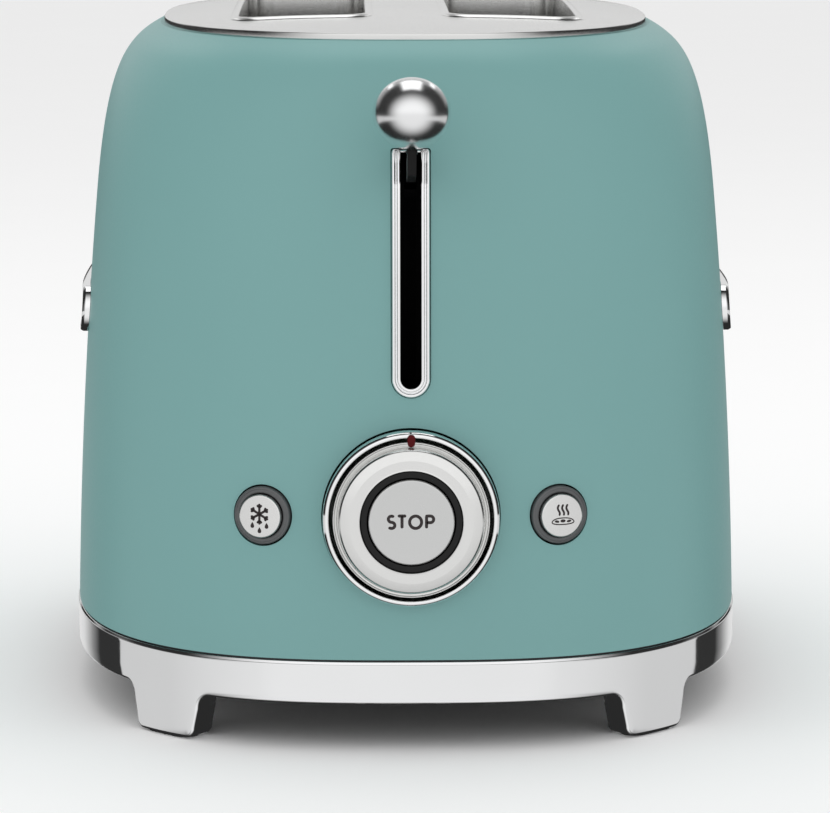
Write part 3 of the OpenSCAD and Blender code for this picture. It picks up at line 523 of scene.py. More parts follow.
lap_points = 7201
fine_angles = np.linspace(0, 2 * np.pi, lap_points)
fine_plan = plan_points(0, base_squareness, fine_angles)
fine_run = np.concatenate([[0], np.cumsum(np.linalg.norm(np.diff(fine_plan, axis=0), axis=1))])
lap = fine_run[-1]


def leg_outline():
    """Half outline of a leg as (distance along the band, height): a flat sole, a round corner,
    a flank that leans out a little, and a hollow quarter circle up to the band."""
    arc = np.linspace(0, np.pi / 2, 12)
    flank_z = ground_gap - leg_fillet
    corner = np.stack([
        leg_half_foot - leg_round + leg_round * np.sin(arc),
        leg_foot_z + leg_round * (1 - np.cos(arc)),
    ], -1)
    hollow = np.stack([
        leg_half_top + leg_fillet * (1 - np.cos(arc)), flank_z + leg_fillet * np.sin(arc),
    ], -1)
    flat = np.stack([np.linspace(0, corner[0, 0], 7)[:-1], np.full(6, leg_foot_z)], -1)
    return np.vstack([flat, corner, np.linspace(corner[-1], hollow[0], 5)[1:-1], hollow])


leg_side = leg_outline()
leg_path = np.vstack([leg_side[:0:-1] * [-1, 1], leg_side])
leg_runs = [
    np.interp(a, fine_angles, fine_run)
    for a in (leg_angle, np.pi - leg_angle, np.pi + leg_angle, 2 * np.pi - leg_angle)
]
edge_spacing = 2.2 * MM
edge = []
for here, following in zip(leg_runs, leg_runs[1:] + [leg_runs[0] + lap]):
    gap_from, gap_to = here + leg_path[-1, 0], following + leg_path[0, 0]
    flat = np.linspace(gap_from, gap_to, int((gap_to - gap_from) / edge_spacing))[1:-1]
    edge += [leg_path + [here, 0], np.stack([flat, np.full(len(flat), ground_gap)], -1)]
edge = np.vstack(edge)
step = np.roll(edge, -1, axis=0) - np.roll(edge, 1, axis=0)
step[:, 0] = (step[:, 0] + lap) % lap
into = np.stack([-step[:, 1], step[:, 0]], -1) / np.linalg.norm(step, axis=1)[:, None]

# Rows of the band: down its face, round the soft lower edge, and up the inside.
edge_soft = 0.8 * MM
leg_blend, ledge_step, ledge_rise = 4 * MM, 0.3 * MM, 1.6 * MM
bevel = rounded([[2, 0], [0.42, 0], [0.30, -0.08], [0.1, -0.75], [0, -0.85], [0, -1.6]], 0.06, 4) * MM
low_share = np.clip((ground_gap - edge[:, 1]) / leg_blend, 0, 1)
inner_t = band_t + (leg_t - band_t) * low_share * low_share * (3 - 2 * low_share)
turn = np.linspace(0, np.pi / 2, 7)
top_z = band_high.z
band_rows = [(inset, edge[:, 0], top_z + drop) for inset, drop in bevel]
for share in (0.3, 0.65, 1.0):
    face = edge + into * edge_soft * share
    face_z = (top_z + bevel[-1, 1]) * (1 - share) + face[:, 1] * share
    band_rows.append((0, face[:, 0], face_z))
for a in turn[1:]:
    turned = edge + into * edge_soft * (1 - np.sin(a))
    band_rows.append((edge_soft * (1 - np.cos(a)), turned[:, 0], turned[:, 1]))
back = edge + into * edge_soft
band_rows += [
    (inner_t - edge_soft, edge[:, 0], edge[:, 1]),
    (inner_t, back[:, 0], back[:, 1]),
    (inner_t, edge[:, 0], np.maximum(back[:, 1] + ledge_step, ground_gap - ledge_step)),
    (band_t, edge[:, 0], ground_gap + ledge_rise),
    (band_t, edge[:, 0], top_z),
]
band_grid = np.stack([
    np.column_stack([
        plan_points(inset, base_squareness, np.interp(run % lap, fine_run, fine_angles)),
        np.broadcast_to(z, run.shape),
    ]) for inset, run, z in band_rows
])
cast_crease = 38
band = grid_piece("band_skin", [(band_grid, True)], cast_crease)


def block(name, low, high):
    """Closed plain block that cuts a square opening."""
    (x0, y0, z0), (x1, y1, z1) = low, high
    ring = np.array([[x0, y0], [x1, y0], [x1, y1], [x0, y1]])
    rows = np.stack([np.column_stack([ring, np.full(len(ring), z)]) for z in (z0, z1)])
    return grid_piece(name, [(closed_ends(rows), False)])


tray_low, tray_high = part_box("crumb_tray")
tray_gap = 0.6 * MM
lip_half, notch_reach = 22 * MM, 2 * MM
cut_from, cut_to = half_l * 0.6, half_l * 1.1
pierce(band, block(
    "tray_opening", (tray_low.x - tray_gap, cut_from, tray_low.z - tray_gap),
    (tray_high.x + tray_gap, cut_to, tray_high.z + tray_gap),
), cast_crease)
pierce(band, block(
    "finger_notch", (-lip_half, cut_from, ground_gap - notch_reach),
    (lip_half, cut_to, tray_low.z + tray_gap),
), cast_crease)
band_chrome = finish(
    "mirror_chrome", (0.93, 0.935, 0.94), 1, 0.06, spread=0.02, grain=90, shade=0.03, shade_scale=20,
)
wear(band, band_chrome, "casing", "band_chrome", "base_band")

# ---- Badge bars ----
# A plain chromed bar on each long side, cast in zinc and pinned through the shell. It follows the
# skin, and a shallow channel runs round its raised middle.

badge_low, badge_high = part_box("badge_right")
badge_half_l, badge_half_h = badge_high.y, (badge_high.z - badge_low.z) / 2
badge_z = (badge_low.z + badge_high.z) / 2
badge_columns, end_turn = 160, 9
badge_section = rounded([
    [0, 1.75], [0.55, 1.75], [0.60, 1.3], [0.72, 1.3], [0.76, 2.3], [0.93, 2.35], [1.0, 1.5],
    [1.0, 0.05], [0, 0.05],
], 0.06, 4)


def badge_grid(side):
    """Stadium outline shrunk towards its middle line by each row's share, standing off the skin
    by that row's height. The straight part comes from tanh, which turns over at each end."""
    angles = np.linspace(0, 2 * np.pi, badge_columns, endpoint=False)
    straight = badge_half_l - badge_half_h
    rows = []
    for share, height in badge_section:
        z = badge_z + badge_half_h * share * np.sin(angles)
        y = badge_half_h * share * np.cos(angles) + straight * np.tanh(end_turn * np.cos(angles))
        rows.append(np.stack([side * (side_x(y, z) + height * MM), y, z], -1))
    return np.stack(rows)


trim_chrome = finish(
    "trim_chrome", (0.97, 0.975, 0.98), 1, 0.06, spread=0.01, grain=40, shade=0.03, shade_scale=30,
)
for side, name in ((-1, "left"), (1, "right")):
    badge = grid_piece(f"badge_bar_{name}", [(badge_grid(side), False)], cast_crease)
    wear(badge, trim_chrome, "casing", "trim_chrome", f"badge_{name}")

# ---- Lever slot trim ----
# Chromed die-cast frame, pressed into the shell around the lever slot. Two half-round ridges with
# a fine dark channel between them run down one side, round the foot and up the other.

inner_half, inner_corner, top_bar = 2.75 * MM, 0.25 * MM, 1.0 * MM
inner_z0, inner_z1 = trim_low.z + trim_half - inner_half, trim_high.z - top_bar
corner_steps, foot_steps, side_steps = 6, 40, 38
ridge_crease = 50
trim_section = rounded_loop([
    [0.0, -3.0], [0.0, 0.35], [0.16, 0.70], [0.82, 0.70], [0.98, 0.35], [1.0, -0.9], [1.42, -0.9],
    [1.44, 0.5], [1.60, 0.98], [2.22, 0.98], [2.48, 0.4], [2.5, -0.2], [2.5, -3.0],
], 0.16, 4)


def trim_grid():
    """Sweep of the double ridge: each outline point moves out by the section's first value and
    stands off the front of the shell by its second."""
    outline = stadium(inner_half, inner_z0, inner_z1, inner_corner, corner_steps, foot_steps)
    start, foot, end = np.split(outline, [corner_steps, corner_steps + foot_steps])
    run_z = np.linspace(inner_z1 - inner_corner, inner_z0 + inner_half, side_steps + 2)[1:-1]
    left = np.stack([np.full(side_steps, -inner_half), run_z], -1)
    right = np.stack([np.full(side_steps, inner_half), run_z[::-1]], -1)
    outline = np.vstack([start, left, foot, right, end])
    before, after = np.roll(outline, 1, axis=0), np.roll(outline, -1, axis=0)
    run = after - before
    normal = np.stack([run[:, 1], -run[:, 0]], -1) / np.linalg.norm(run, axis=1)[:, None]
    grow = trim_section[None, :, :1] * MM
    place = outline[:, None] + normal[:, None] * grow
    place[..., 1] = np.minimum(place[..., 1], trim_high.z)
    y = front_y(place[..., 1]) - trim_section[None, :, 1] * MM
    return np.stack([place[..., 0], y, place[..., 1]], -1)


trim = grid_piece("slot_trim", [(trim_grid(), True)], ridge_crease)
wear(trim, trim_chrome, "casing", "trim_chrome", "slot_frame")

# ---- Lever ball and arm ----
# Chromed ball, slightly flattened, screwed to the stem of the black steel arm. The arm runs back
# through the slot to the carriage.

ball_low, ball_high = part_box("lever_ball")
ball_r = ball_high.x
ball_half_h = (ball_high.z - ball_low.z) / 2
ball_place = np.array([0.0, (ball_low.y + ball_high.y) / 2, (ball_low.z + ball_high.z) / 2])
ball_rows, ball_columns = 72, 128
tilts = np.linspace(-np.pi / 2, np.pi / 2, ball_rows)[:, None]
ball_angles = np.linspace(0, 2 * np.pi, ball_columns, endpoint=False)
ball_grid = ball_place + np.stack([
    ball_r * np.cos(tilts) * np.cos(ball_angles),
    ball_r * np.cos(tilts) * np.sin(ball_angles),
    np.broadcast_to(ball_half_h * np.sin(tilts), (ball_rows, ball_columns)),
], -1)
ball = grid_piece("ball_skin", [(ball_grid, False)])
ball_chrome = finish(
    "ball_chrome", (0.92, 0.925, 0.93), 1, 0.21, spread=0.01, grain=150, shade=0.03, shade_scale=40,
)
wear(ball, ball_chrome, "carriage", "trim_chrome", "lever_ball")


def dress(material, *nodes):
    """Gives carried-over nodes a finish."""
    for node in nodes:
        data = frame["nodes"][node].data
        data.materials.clear()
        data.materials.append(material)


dress(finish("arm_black", (0.006, 0.006, 0.006), 0, 0.45, grain=500, specular=0.2), "lever_arm")
# The sheet behind the slot is black, and it is made darker and duller than the other black parts so that
# the slot reads as deep shade: its own black with painted shade.
dress(finish("shield_black_painted_shade", (0.002, 0.002, 0.002), 0, 0.8, grain=500, specular=0.05), "slot_shield")

# ---- Knob, bezel and pointer ----
# The bezel is a chromed ring snapped into the shell. The knob is satin-chromed moulding that turns
# in it, with a stepped skirt, a bevelled shoulder and a nearly flat face. A dark red mark on the
# skirt shows the setting.

bezel_section = rounded_loop([
    [22.25, -8], [22.25, 3.6], [22.5, 4.4], [23.35, 4.4], [24.1, 3.5], [24.1, -8],
], 0.4, 6) * MM
dial_columns = 192
bezel_grid = lathe_grid(bezel_section, knob_place, knob_out, dial_columns)
bezel = grid_piece("bezel_skin", [(bezel_grid, True)], pressed_crease)
wear(bezel, trim_chrome, "casing", "trim_chrome", "knob_bezel")

knob_section = rounded_loop([
    [13.9, -4], [13.9, 8.1], [14.1, 8.5], [14.4, 8.38], [16.8, 8.32], [19.3, 7.55],
    [19.75, 7.0], [19.85, 5.6], [19.85, 3.4], [20.2, 3.4], [20.25, 4.3], [20.85, 4.35], [21.0, 4.7],
    [21.25, 4.7], [21.4, 4.3], [21.4, -4],
], 0.14, 4) * MM
knob_grid = lathe_grid(knob_section, knob_place, knob_out, dial_columns)
knob = grid_piece("knob_skin", [(knob_grid, True)], pressed_crease)
knob_satin = finish(
    "satin_chrome_moulding", (0.82, 0.82, 0.81), 1, 0.22, spread=0.03, grain=900,
    relief=0.0015 * MM, shade=0.03,
)
wear(knob, knob_satin, "knob", "knob_satin", "browning_knob")


root = 0.1 * MM


def inlay_grid(outline, face, place, out, thick):
    """Closed flat plate over a star-shaped outline, thick from the face outwards, with its root
    sunk below the face."""
    outline = np.array(outline, float)
    right, up, ahead = axis_frame(out)
    middle = outline.mean(axis=0) + 0 * outline
    buried = face - root
    rows = [
        (middle, face + thick), (outline * 0.98 + middle * 0.02, face + thick),
        (outline, face + thick * 0.6), (outline, buried), (middle, buried),
    ]
    return np.stack([
        place + flat[:, :1] * right + flat[:, 1:] * up + s * ahead for flat, s in rows
    ])




def squarish(wave, power):
    """Cosine or sine pushed towards -1 and 1: its sign times its size to a power under 1."""
    return np.sign(wave) * np.abs(wave) ** power


mark_half_w, mark_half_h, mark_out = 1.05 * MM, 1.65 * MM, 21.75 * MM
mark_face, mark_thick, mark_power = 4.3 * MM, 1.0 * MM, 0.7
mark_angles = np.linspace(0, 2 * np.pi, 40, endpoint=False)
mark_outline = np.stack([
    mark_half_w * squarish(np.cos(mark_angles), mark_power),
    mark_out + mark_half_h * squarish(np.sin(mark_angles), mark_power),
], -1)
mark_grid = inlay_grid(mark_outline, mark_face, knob_place, knob_out, mark_thick)
pointer = grid_piece("pointer_mark", [(mark_grid, False)])
red_mark = finish(
    "dark_red_mark", (0.095, 0.003, 0.005), 0, 0.5, grain=600, relief=0.004 * MM, specular=0.15,
)
wear(pointer, red_mark, "knob", "red_mark", "knob_pointer")

# ---- Stop button ----
# Satin cap in the middle of the knob, inside a fixed black sleeve, with its word printed on it in
# thick dark ink.

sleeve_section = rounded_loop([[12.05, -20], [12.05, 7.9], [13.8, 7.9], [13.8, -20]], 0.25, 5) * MM
stop_columns = 160
sleeve_grid = lathe_grid(sleeve_section, knob_place, knob_out, stop_columns)
sleeve = grid_piece("sleeve_skin", [(sleeve_grid, True)], pressed_crease)
black_plastic = finish(
    "black_plastic", (0.006, 0.006, 0.006), 0, 0.42, grain=700, relief=0.006 * MM, specular=0.3,
)
wear(sleeve, black_plastic, "casing", "black_plastic", "stop_sleeve")

stop_face = 8.54 * MM
stop_section = np.vstack([
    rounded([[0, 8.52], [9.0, 8.54], [11.4, 8.6], [11.75, 8.2], [11.75, 3.5]], 0.3, 6), [[0, 3.5]],
]) * MM
stop_grid = lathe_grid(stop_section, knob_place, knob_out, stop_columns)
stop_cap = grid_piece("stop_cap", [(stop_grid, False)], pressed_crease)
stop_satin = finish(
    "satin_stop_cap", (0.68, 0.685, 0.68), 1, 0.30, spread=0.03, grain=900,
    relief=0.0015 * MM, shade=0.03,
)
wear(stop_cap, stop_satin, "stop", "knob_satin", "stop_button")


loop_stations, line_stations = 48, 26


def ribbon_grid(line, width, face, place, out, thick, closed=False):
    """Raised stroke of even width along a line of (x, y) points: a flat-topped section carried
    along it, which tapers to round ends over half its width, or runs round a closed line."""
    line = np.array(line, float)
    sides = np.vstack([line, line[:1]]) if closed else line
    run = np.concatenate([[0], np.cumsum(np.linalg.norm(np.diff(sides, axis=0), axis=1))])
    if closed:
        stations = np.linspace(0, run[-1], loop_stations, endpoint=False)
        half = np.full(loop_stations, width / 2)
    else:
        ease = (1 - np.cos(np.linspace(0, np.pi / 2, 7))) * width / 2
        straight = np.linspace(width / 2, run[-1] - width / 2, line_stations)[1:-1]
        stations = np.concatenate([ease, straight, run[-1] - ease[::-1]])
        away = np.minimum(np.minimum(stations, run[-1] - stations), width / 2)
        half = np.sqrt(np.maximum(0, (width / 2) ** 2 - (width / 2 - away) ** 2))
    path = np.stack([np.interp(stations, run, sides[:, k]) for k in (0, 1)], -1)
    if closed:
        ahead_of = np.roll(path, -1, axis=0) - np.roll(path, 1, axis=0)
    else:
        ahead_of = np.gradient(path, axis=0)
    ahead_of /= np.linalg.norm(ahead_of, axis=1)[:, None]
    across = np.stack([-ahead_of[:, 1], ahead_of[:, 0]], -1)
    right, up, ahead = axis_frame(out)
    section = [(-1, -root), (-1, thick * 0.7), (-0.9, thick), (0.9, thick), (1, thick * 0.7), (1, -root)]
    columns = []
    for reach, s in section:
        flat = path + across * (half * reach)[:, None]
        columns.append(place + flat[:, :1] * right + flat[:, 1:] * up + (face + s) * ahead)
    return np.stack(columns, 1), closed


def arc_points(x, y, rx, ry, start, end, steps=18):
    """Points along an ellipse's arc, from one angle to another in degrees."""
    a = np.radians(np.linspace(start, end, steps))
    return np.stack([x + rx * np.cos(a), y + ry * np.sin(a)], -1)


# Strokes of the word, in millimetres from the middle of the cap.
letter_s = np.vstack([
    arc_points(-5.42, 0.84, 0.84, 0.84, 36, 262), arc_points(-5.42, -0.84, 0.92, 0.84, 85, -145),
])
letter_t = [[[-3.75, 1.70], [-1.4, 1.70]], [[-2.57, 1.70], [-2.57, -1.70]]]
letter_o = arc_points(1.1, 0, 1.62, 1.68, 0, 354, 40)
letter_p = np.vstack([
    [[4.05, -1.70], [4.05, 1.68], [5.0, 1.68]], arc_points(5.1, 0.78, 0.88, 0.90, 85, -85),
    [[5.0, -0.12], [4.05, -0.12]],
])
ink_width, ink_rise, word_lift = 0.84 * MM, 0.05 * MM, 0.15 * MM
strokes = [
    (letter_s, False), (letter_t[0], False), (letter_t[1], False), (letter_o, True), (letter_p, False),
]
word = [
    ribbon_grid(
        np.array(line) * MM + [0, word_lift], ink_width, stop_face, knob_place, knob_out, ink_rise, closed,
    ) for line, closed in strokes
]
stop_word = grid_piece("stop_word", word)
dark_ink = finish("dark_ink", (0.018, 0.010, 0.010), 0, 0.5, grain=800, relief=0.003 * MM)
wear(stop_word, dark_ink, "stop", "part_black")

# ---- Defrost and reheat buttons ----
# Satin caps in dark grey plastic rings that follow the curve of the shell. The left one carries a
# snowflake with three drops, and the right one a loaf with three curls of steam.

ring_section = rounded_loop([
    [6.12, -8], [6.12, 0.55], [6.45, 0.9], [7.2, 0.85], [7.3, 0.7], [7.8, 0.6], [8.0, 0.2], [8.0, -8],
], 0.16, 4) * MM
cap_section = np.vstack([
    rounded([[0, 2.4], [5.7, 2.38], [5.95, 2.15], [6.0, -2]], 0.2, 5), [[0, -2]],
]) * MM
cap_face, sign_rise = 2.39 * MM, 0.04 * MM
flake_width, steam_width, loaf_width = 0.68 * MM, 0.58 * MM, 0.32 * MM
button_columns = 96
button_grey = finish(
    "dark_grey_plastic", (0.110, 0.115, 0.118), 0.3, 0.36, grain=500, relief=0.006 * MM, coat=0.2,
)

# Snowflake: six arms of 2.9 mm, each with a short barb to either side, over three drops.
arm_l, barb_root, barb_tip, barb_spread = 2.9, 1.8, 2.5, 0.72
flake = []
for angle in np.radians(np.arange(6) * 60 + 90):
    spoke = np.array([math.cos(angle), math.sin(angle)])
    across = np.array([-spoke[1], spoke[0]])
    flake.append([0 * spoke, arm_l * spoke])
    flake += [[barb_root * spoke, barb_tip * spoke + side * barb_spread * across] for side in (-1, 1)]
drop_angles = np.linspace(0, 2 * np.pi, 32, endpoint=False)
drop = np.stack([
    0.74 * np.sin(drop_angles) * np.sin(drop_angles / 2) ** 1.3, 0.84 * np.cos(drop_angles) - 0.1,
], -1)
flake_centre = np.array([0, 0.65])
drops = [drop + flake_centre + np.array(move) for move in ([-2.05, -2.95], [0, -4.3], [2.05, -3.0])]
defrost_face = (cap_face, defrost_place, defrost_out, sign_rise)
defrost_sign = [
    ribbon_grid((np.array(line) + flake_centre) * MM, flake_width, *defrost_face) for line in flake
] + [(inlay_grid(shape * MM, *defrost_face), False) for shape in drops]

# Loaf: a squarish outline with three cuts, under three curls of steam.
wave = np.linspace(0, 1, 24)
steam = [
    np.stack([x + 0.30 * np.sin(2 * np.pi * wave + 0.4), 0.05 + 3.1 * wave], -1)
    for x in (-1.05, 0.2, 1.45)
]
loaf_angles = np.linspace(0, 2 * np.pi, 72, endpoint=False)
loaf = np.stack([
    0.2 + 3.2 * squarish(np.cos(loaf_angles), 0.85),
    -1.75 + np.where(np.sin(loaf_angles) > 0, 1.15, 0.65) * np.sin(loaf_angles),
], -1)
cuts = [
    np.stack([
        0.2 + x + size * 0.85 * np.cos(loaf_angles) + 0.1 * x * np.sin(loaf_angles),
        -1.42 + 0.48 * size * np.sin(loaf_angles) - 0.06 * abs(x),
    ], -1)
    for x, size in ((-1.75, 0.75), (0, 0.9), (1.75, 0.75))
]
reheat_face = (cap_face, reheat_place, reheat_out, sign_rise)
reheat_sign = [ribbon_grid(line * MM, steam_width, *reheat_face) for line in steam]
reheat_sign.append(ribbon_grid(loaf * MM, loaf_width, *reheat_face, True))
reheat_sign += [(inlay_grid(shape * MM, *reheat_face), False) for shape in cuts]
for label, place, out, sign in (
    ("defrost", defrost_place, defrost_out, defrost_sign),
    ("reheat", reheat_place, reheat_out, reheat_sign),
):
    ring_grid = lathe_grid(ring_section, place, out, button_columns)
    ring = grid_piece(f"{label}_ring_skin", [(ring_grid, True)], pressed_crease)
    wear(ring, button_grey, "casing", "button_grey", f"{label}_ring")
    cap_grid = lathe_grid(cap_section, place, out, button_columns)
    cap = grid_piece(f"{label}_cap", [(cap_grid, False)], pressed_crease)
    wear(cap, knob_satin, label, "knob_satin", f"{label}_button")
    marks = grid_piece(f"{label}_sign", sign)
    wear(marks, dark_ink, label, "part_black")

# ---- Cord gland, feet, tray and base plate ----
# The gland is a soft black moulding with ribs, gripped by the back of the shell. Rubber pads sit
# under the legs, the base plate is black glass-filled plastic, and the tray is plain steel.

gland_profile = rounded_loop([
    [3.25, -12], [3.25, 4.6], [3.7, 5.0], [5.0, 5.0], [5.3, 3.6], [5.9, 3.6], [6.0, 2.6], [6.5, 2.6],
    [6.7, 1.5], [7.0, 1.4], [7.0, -8], [9.3, -8], [9.3, -12],
], 0.35, 4) * MM
gland_grid = lathe_grid(gland_profile, gland_place, gland_out, button_columns)
gland = grid_piece("gland_skin", [(gland_grid, True)], pressed_crease)
pad_rubber = finish("pad_rubber", (0.016, 0.016, 0.017), 0, 0.7, grain=900, relief=0.02 * MM)
wear(gland, pad_rubber, "casing", "black_plastic", "cord_gland")
dress(pad_rubber, "foot_pads")
dress(
    finish("base_plastic", (0.022, 0.023, 0.024), 0, 0.55, grain=700, relief=0.02 * MM),
    "base_plate",
)
tray_steel = finish(
    "brushed_tray_steel", (0.62, 0.63, 0.64), 1, 0.30, spread=0.06, grain=300, relief=0.004 * MM,
    stretch=(0.5, 14, 14),
)
dress(tray_steel, "crumb_tray")

# ---- Toasting chamber ----
# Sheet-steel bulkheads and reflectors, with mica heater cards between them. The racks and the
# guide grilles are welded from bright wire.

dress(
    finish("chassis_steel", (0.60, 0.61, 0.62), 1, 0.34, spread=0.07, grain=220, relief=0.004 * MM,
           stretch=(1, 1, 10)),
    "rear_bulkhead", "reflector_left", "reflector_right", "magnet_core",
)
dress(
    finish("blackened_steel", (0.010, 0.010, 0.011), 0.6, 0.5, spread=0.06, grain=300, specular=0.2),
    "front_bulkhead", "carriage_plate", "armature_plate",
)
dress(
    finish("bright_wire", (0.66, 0.66, 0.66), 1, 0.24, grain=600, relief=0.003 * MM),
    "bread_rack_left", "bread_rack_right", "guide_grille_outer_left", "guide_grille_inner_left",
    "guide_grille_inner_right", "guide_grille_outer_right", "guide_rods", "carriage_spring",
    "stop_spring", "defrost_spring", "reheat_spring",
)
dress(
    finish("mica_card", (0.52, 0.45, 0.33), 0, 0.42, spread=0.12, grain=160, relief=0.03 * MM,
           shade=0.35, shade_scale=90, stretch=(1, 3, 1)),
    "heater_card_outer_left", "heater_card_inner_left", "heater_card_inner_right",
    "heater_card_outer_right",
)
dress(
    finish("heater_ribbon", (0.20, 0.17, 0.15), 0.9, 0.45, grain=700, relief=0.005 * MM, shade=0.3,
           shade_scale=60),
    "heater_wires",
)

# ---- Electrical parts ----
# Printed board with its relay, capacitors and plugs, the rotary encoder behind the knob, the
# solenoid that holds the carriage down, and the lead from the terminal block.

dress(
    finish("board_green", (0.020, 0.105, 0.045), 0, 0.32, grain=500, relief=0.01 * MM, shade=0.25,
           shade_scale=150, coat=0.3),
    "control_board", "encoder_body",
)
dress(
    finish("part_black", (0.022, 0.022, 0.024), 0, 0.45, grain=800, relief=0.008 * MM),
    "board_parts", "stop_switch", "side_switches",
)
dress(
    finish("cream_nylon", (0.70, 0.67, 0.57), 0, 0.42, grain=500, relief=0.01 * MM, shade=0.1),
    "terminal_block", "carriage_bushes", "encoder_rotor",
)
dress(
    finish("turned_brass", (0.62, 0.42, 0.16), 1, 0.28, grain=500, stretch=(1, 12, 1)),
    "board_standoffs",
)
dress(
    finish("enamelled_copper", (0.52, 0.17, 0.06), 0.9, 0.3, grain=350, relief=0.05 * MM,
           stretch=(0.2, 0.2, 14)),
    "magnet_coil",
)
dress(finish("lead_sleeve", (0.20, 0.075, 0.025), 0, 0.5, grain=700, relief=0.01 * MM), "inner_lead")
dress(
    finish("screw_zinc", (0.55, 0.56, 0.57), 1, 0.3, grain=700, relief=0.005 * MM),
    "chassis_screws", "plate_screws",
)

# ---- Studio ----
# Pale seamless floor, which mirrors don't see, with a soft light overhead and one on each side.
# The room around it is white to the camera, evenly bright to matt surfaces, and has a soft disc,
# panels and dark strips for chrome to mirror.

floor_half = 9.0
floor_ring = np.array([[-1, -1], [1, -1], [1, 1], [-1, 1]]) * floor_half
floor_mesh = bpy.data.meshes.new("floor")
floor_mesh.from_pydata([(x, y, 0) for x, y in floor_ring.tolist()], [], [(0, 1, 2, 3)])
floor = bpy.data.objects.new("floor", floor_mesh)
bpy.context.scene.collection.objects.link(floor)
floor_paint = finish(
    "pale_floor", (0.97, 0.97, 0.97), 0, 0.9, grain=3, shade=0.005, specular=0.0,
)
floor_mesh.materials.append(floor_paint)
floor.visible_glossy = False


def softbox(name, place, aim, width, height, power):
    """Area light at place, aimed at a point."""
    light = bpy.data.lights.new(name, "AREA")
    light.shape = "RECTANGLE"
    light.size, light.size_y = width, height
    light.energy = power
    lamp = bpy.data.objects.new(name, light)
    lamp.location = place
    offset = lamp.location - type(lamp.location)(aim)
    lamp.rotation_euler = offset.to_track_quat("Z", "Y").to_euler()
    lamp.visible_glossy = False
    bpy.context.scene.collection.objects.link(lamp)
    return lamp


softbox("overhead", (0, 0.35, 1.6), (0, 0, 0), 1.2, 1.2, 4)
softbox("left_fill", (-1.5, -0.5, 0.5), (0, 0, 0.1), 0.8, 1.0, 2)
softbox("right_fill", (1.5, -0.5, 0.5), (0, 0, 0.1), 0.8, 1.0, 2)

world = bpy.data.worlds.new("studio")
bpy.context.scene.world = world
world.use_nodes = True
room = world.node_tree
room.nodes.clear()


def room_node(kind, **values):
    """A node of the room's light, with its settings."""
    node = room.nodes.new(kind)
    for key, value in values.items():
        setattr(node, key, value)
    return node


def room_math(operation, first, second=0.0, third=0.0):
    """A sum or product on sockets or plain numbers."""
    node = room_node("ShaderNodeMath", operation=operation)
    for socket, value in zip(node.inputs, (first, second, third)):
        if isinstance(value, (int, float)):
            socket.default_value = value
        else:
            room.links.new(value, socket)
    return node.outputs[0]


def room_step(value, low, high):
    """Smooth rise from 0 at low to 1 at high."""
    node = room_node("ShaderNodeMapRange", interpolation_type="SMOOTHSTEP")
    room.links.new(value, node.inputs["Value"])
    node.inputs["From Min"].default_value = low
    node.inputs["From Max"].default_value = high
    return node.outputs["Result"]


towards = room_node("ShaderNodeTexCoord").outputs["Generated"]
parts = room_node("ShaderNodeSeparateXYZ")
room.links.new(towards, parts.inputs[0])
east, north, high = parts.outputs

# The front of the room is a big soft disc, brighter above the horizon, that fades into the dark.
front = room_math("MULTIPLY", north, -1)
disc_strength = room_math("MULTIPLY_ADD", room_step(high, -0.05, 0.25), 0.20, 1.04)
disc = room_math("MULTIPLY", room_step(front, 0.10, 0.88), disc_strength)
# Ceiling panels behind the middle of the room: a wide one and a small one on each side.
climb = room_math("MAXIMUM", high, 0.05)
ceiling_x = room_math("DIVIDE", room_math("ABSOLUTE", east), climb)
ceiling_y = room_math("DIVIDE", north, climb)


def panel(x0, x1, y0, y1):
    """Mask of a ceiling panel with soft edges, in slopes away from straight up."""
    sides = room_math("MULTIPLY", room_step(ceiling_x, x0 - 0.05, x0),
                      room_math("SUBTRACT", 1, room_step(ceiling_x, x1, x1 + 0.05)))
    ends = room_math("MULTIPLY", room_step(ceiling_y, y0 - 0.06, y0),
                     room_math("SUBTRACT", 1, room_step(ceiling_y, y1, y1 + 0.1)))
    return room_math("MULTIPLY", sides, ends)


panels = room_math("MAXIMUM", panel(-1, 0.30, 0.05, 1.05), panel(0.62, 0.85, 1.0, 2.2))
# A bright wall far behind, low and narrow, for the top plate to mirror.
wall = room_math("MULTIPLY", room_step(north, 0.72, 0.90), room_step(high, -0.02, 0.03))
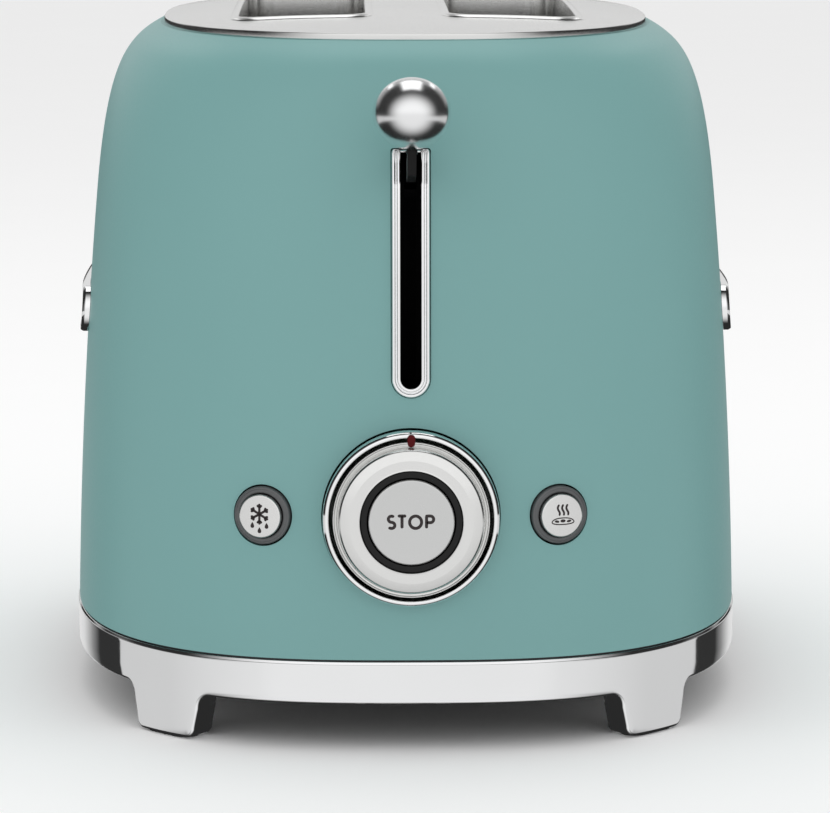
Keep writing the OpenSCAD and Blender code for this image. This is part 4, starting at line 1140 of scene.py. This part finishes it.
# The floor near the horizon: light in front, a dark strip at each back corner, then light.
level_share = room_math("SUBTRACT", 1, room_math("MULTIPLY", high, high))
level_length = room_math("SQRT", room_math("MAXIMUM", level_share, 0.0001))
bearing = room_math("DIVIDE", front, level_length)
ramp = room_node("ShaderNodeValToRGB")
room.links.new(room_math("MULTIPLY_ADD", bearing, 0.5, 0.5), ramp.inputs[0])
floor_stops = [
    (0.0, 0.95), (0.02, 0.85), (0.055, 0.30), (0.085, 0.01), (0.193, 0.01), (0.1965, 0.76),
    (0.5, 0.78), (0.9, 0.98), (1.0, 1.04),
]
while len(ramp.color_ramp.elements) < len(floor_stops):
    ramp.color_ramp.elements.new(0.5)
for element, (position, brightness) in zip(ramp.color_ramp.elements, floor_stops):
    element.position = position
    element.color = (brightness, brightness, brightness, 1)
depth = room_math("MULTIPLY", high, -1)
short_of_dark = room_math("SUBTRACT", 1, room_step(depth, 0.29, 0.33))
near_floor = room_math("MULTIPLY", room_step(depth, 0.09, 0.12), short_of_dark)
# A weak glow over the whole back of the room, above the wall.
rear = room_math("MULTIPLY", room_step(north, 0.42, 0.75), room_step(high, 0.05, 0.25))

# What mirrors see is the brightest of these in each direction, over a faint light everywhere.
mirror_room = disc
for mask, strength in ((ramp.outputs[0], near_floor), (panels, 1.6), (wall, 0.88), (rear, 0.45)):
    mirror_room = room_math("MAXIMUM", mirror_room, room_math("MULTIPLY", mask, strength))
faint_light, matt_light = 0.03, 1.07
mirror_room = room_math("ADD", mirror_room, faint_light)
path_kind = room_node("ShaderNodeLightPath")
glossy, seen = path_kind.outputs["Is Glossy Ray"], path_kind.outputs["Is Camera Ray"]
matt = room_math("MULTIPLY", room_math("SUBTRACT", 1, glossy), matt_light)
room_light = room_math("ADD", room_math("MULTIPLY", mirror_room, glossy), matt)
room_light = room_math("MAXIMUM", room_light, seen)
glow = room_node("ShaderNodeBackground")
room.links.new(room_light, glow.inputs["Strength"])
room.links.new(glow.outputs[0], room_node("ShaderNodeOutputWorld").inputs["Surface"])

camera_down, camera_turn = math.radians(90 - 7.95), -0.0152
camera_data = bpy.data.cameras.new("camera")
camera_data.sensor_width = 36
camera_data.lens = 194.3
camera_data.clip_end = 50
camera = bpy.data.objects.new("camera", camera_data)
camera.location = (-0.0172, -1.343, 0.2628)
camera.rotation_euler = (camera_down, 0, camera_turn)
bpy.context.scene.collection.objects.link(camera)
bpy.context.scene.camera = camera
bpy.context.scene.view_settings.view_transform = "Standard"
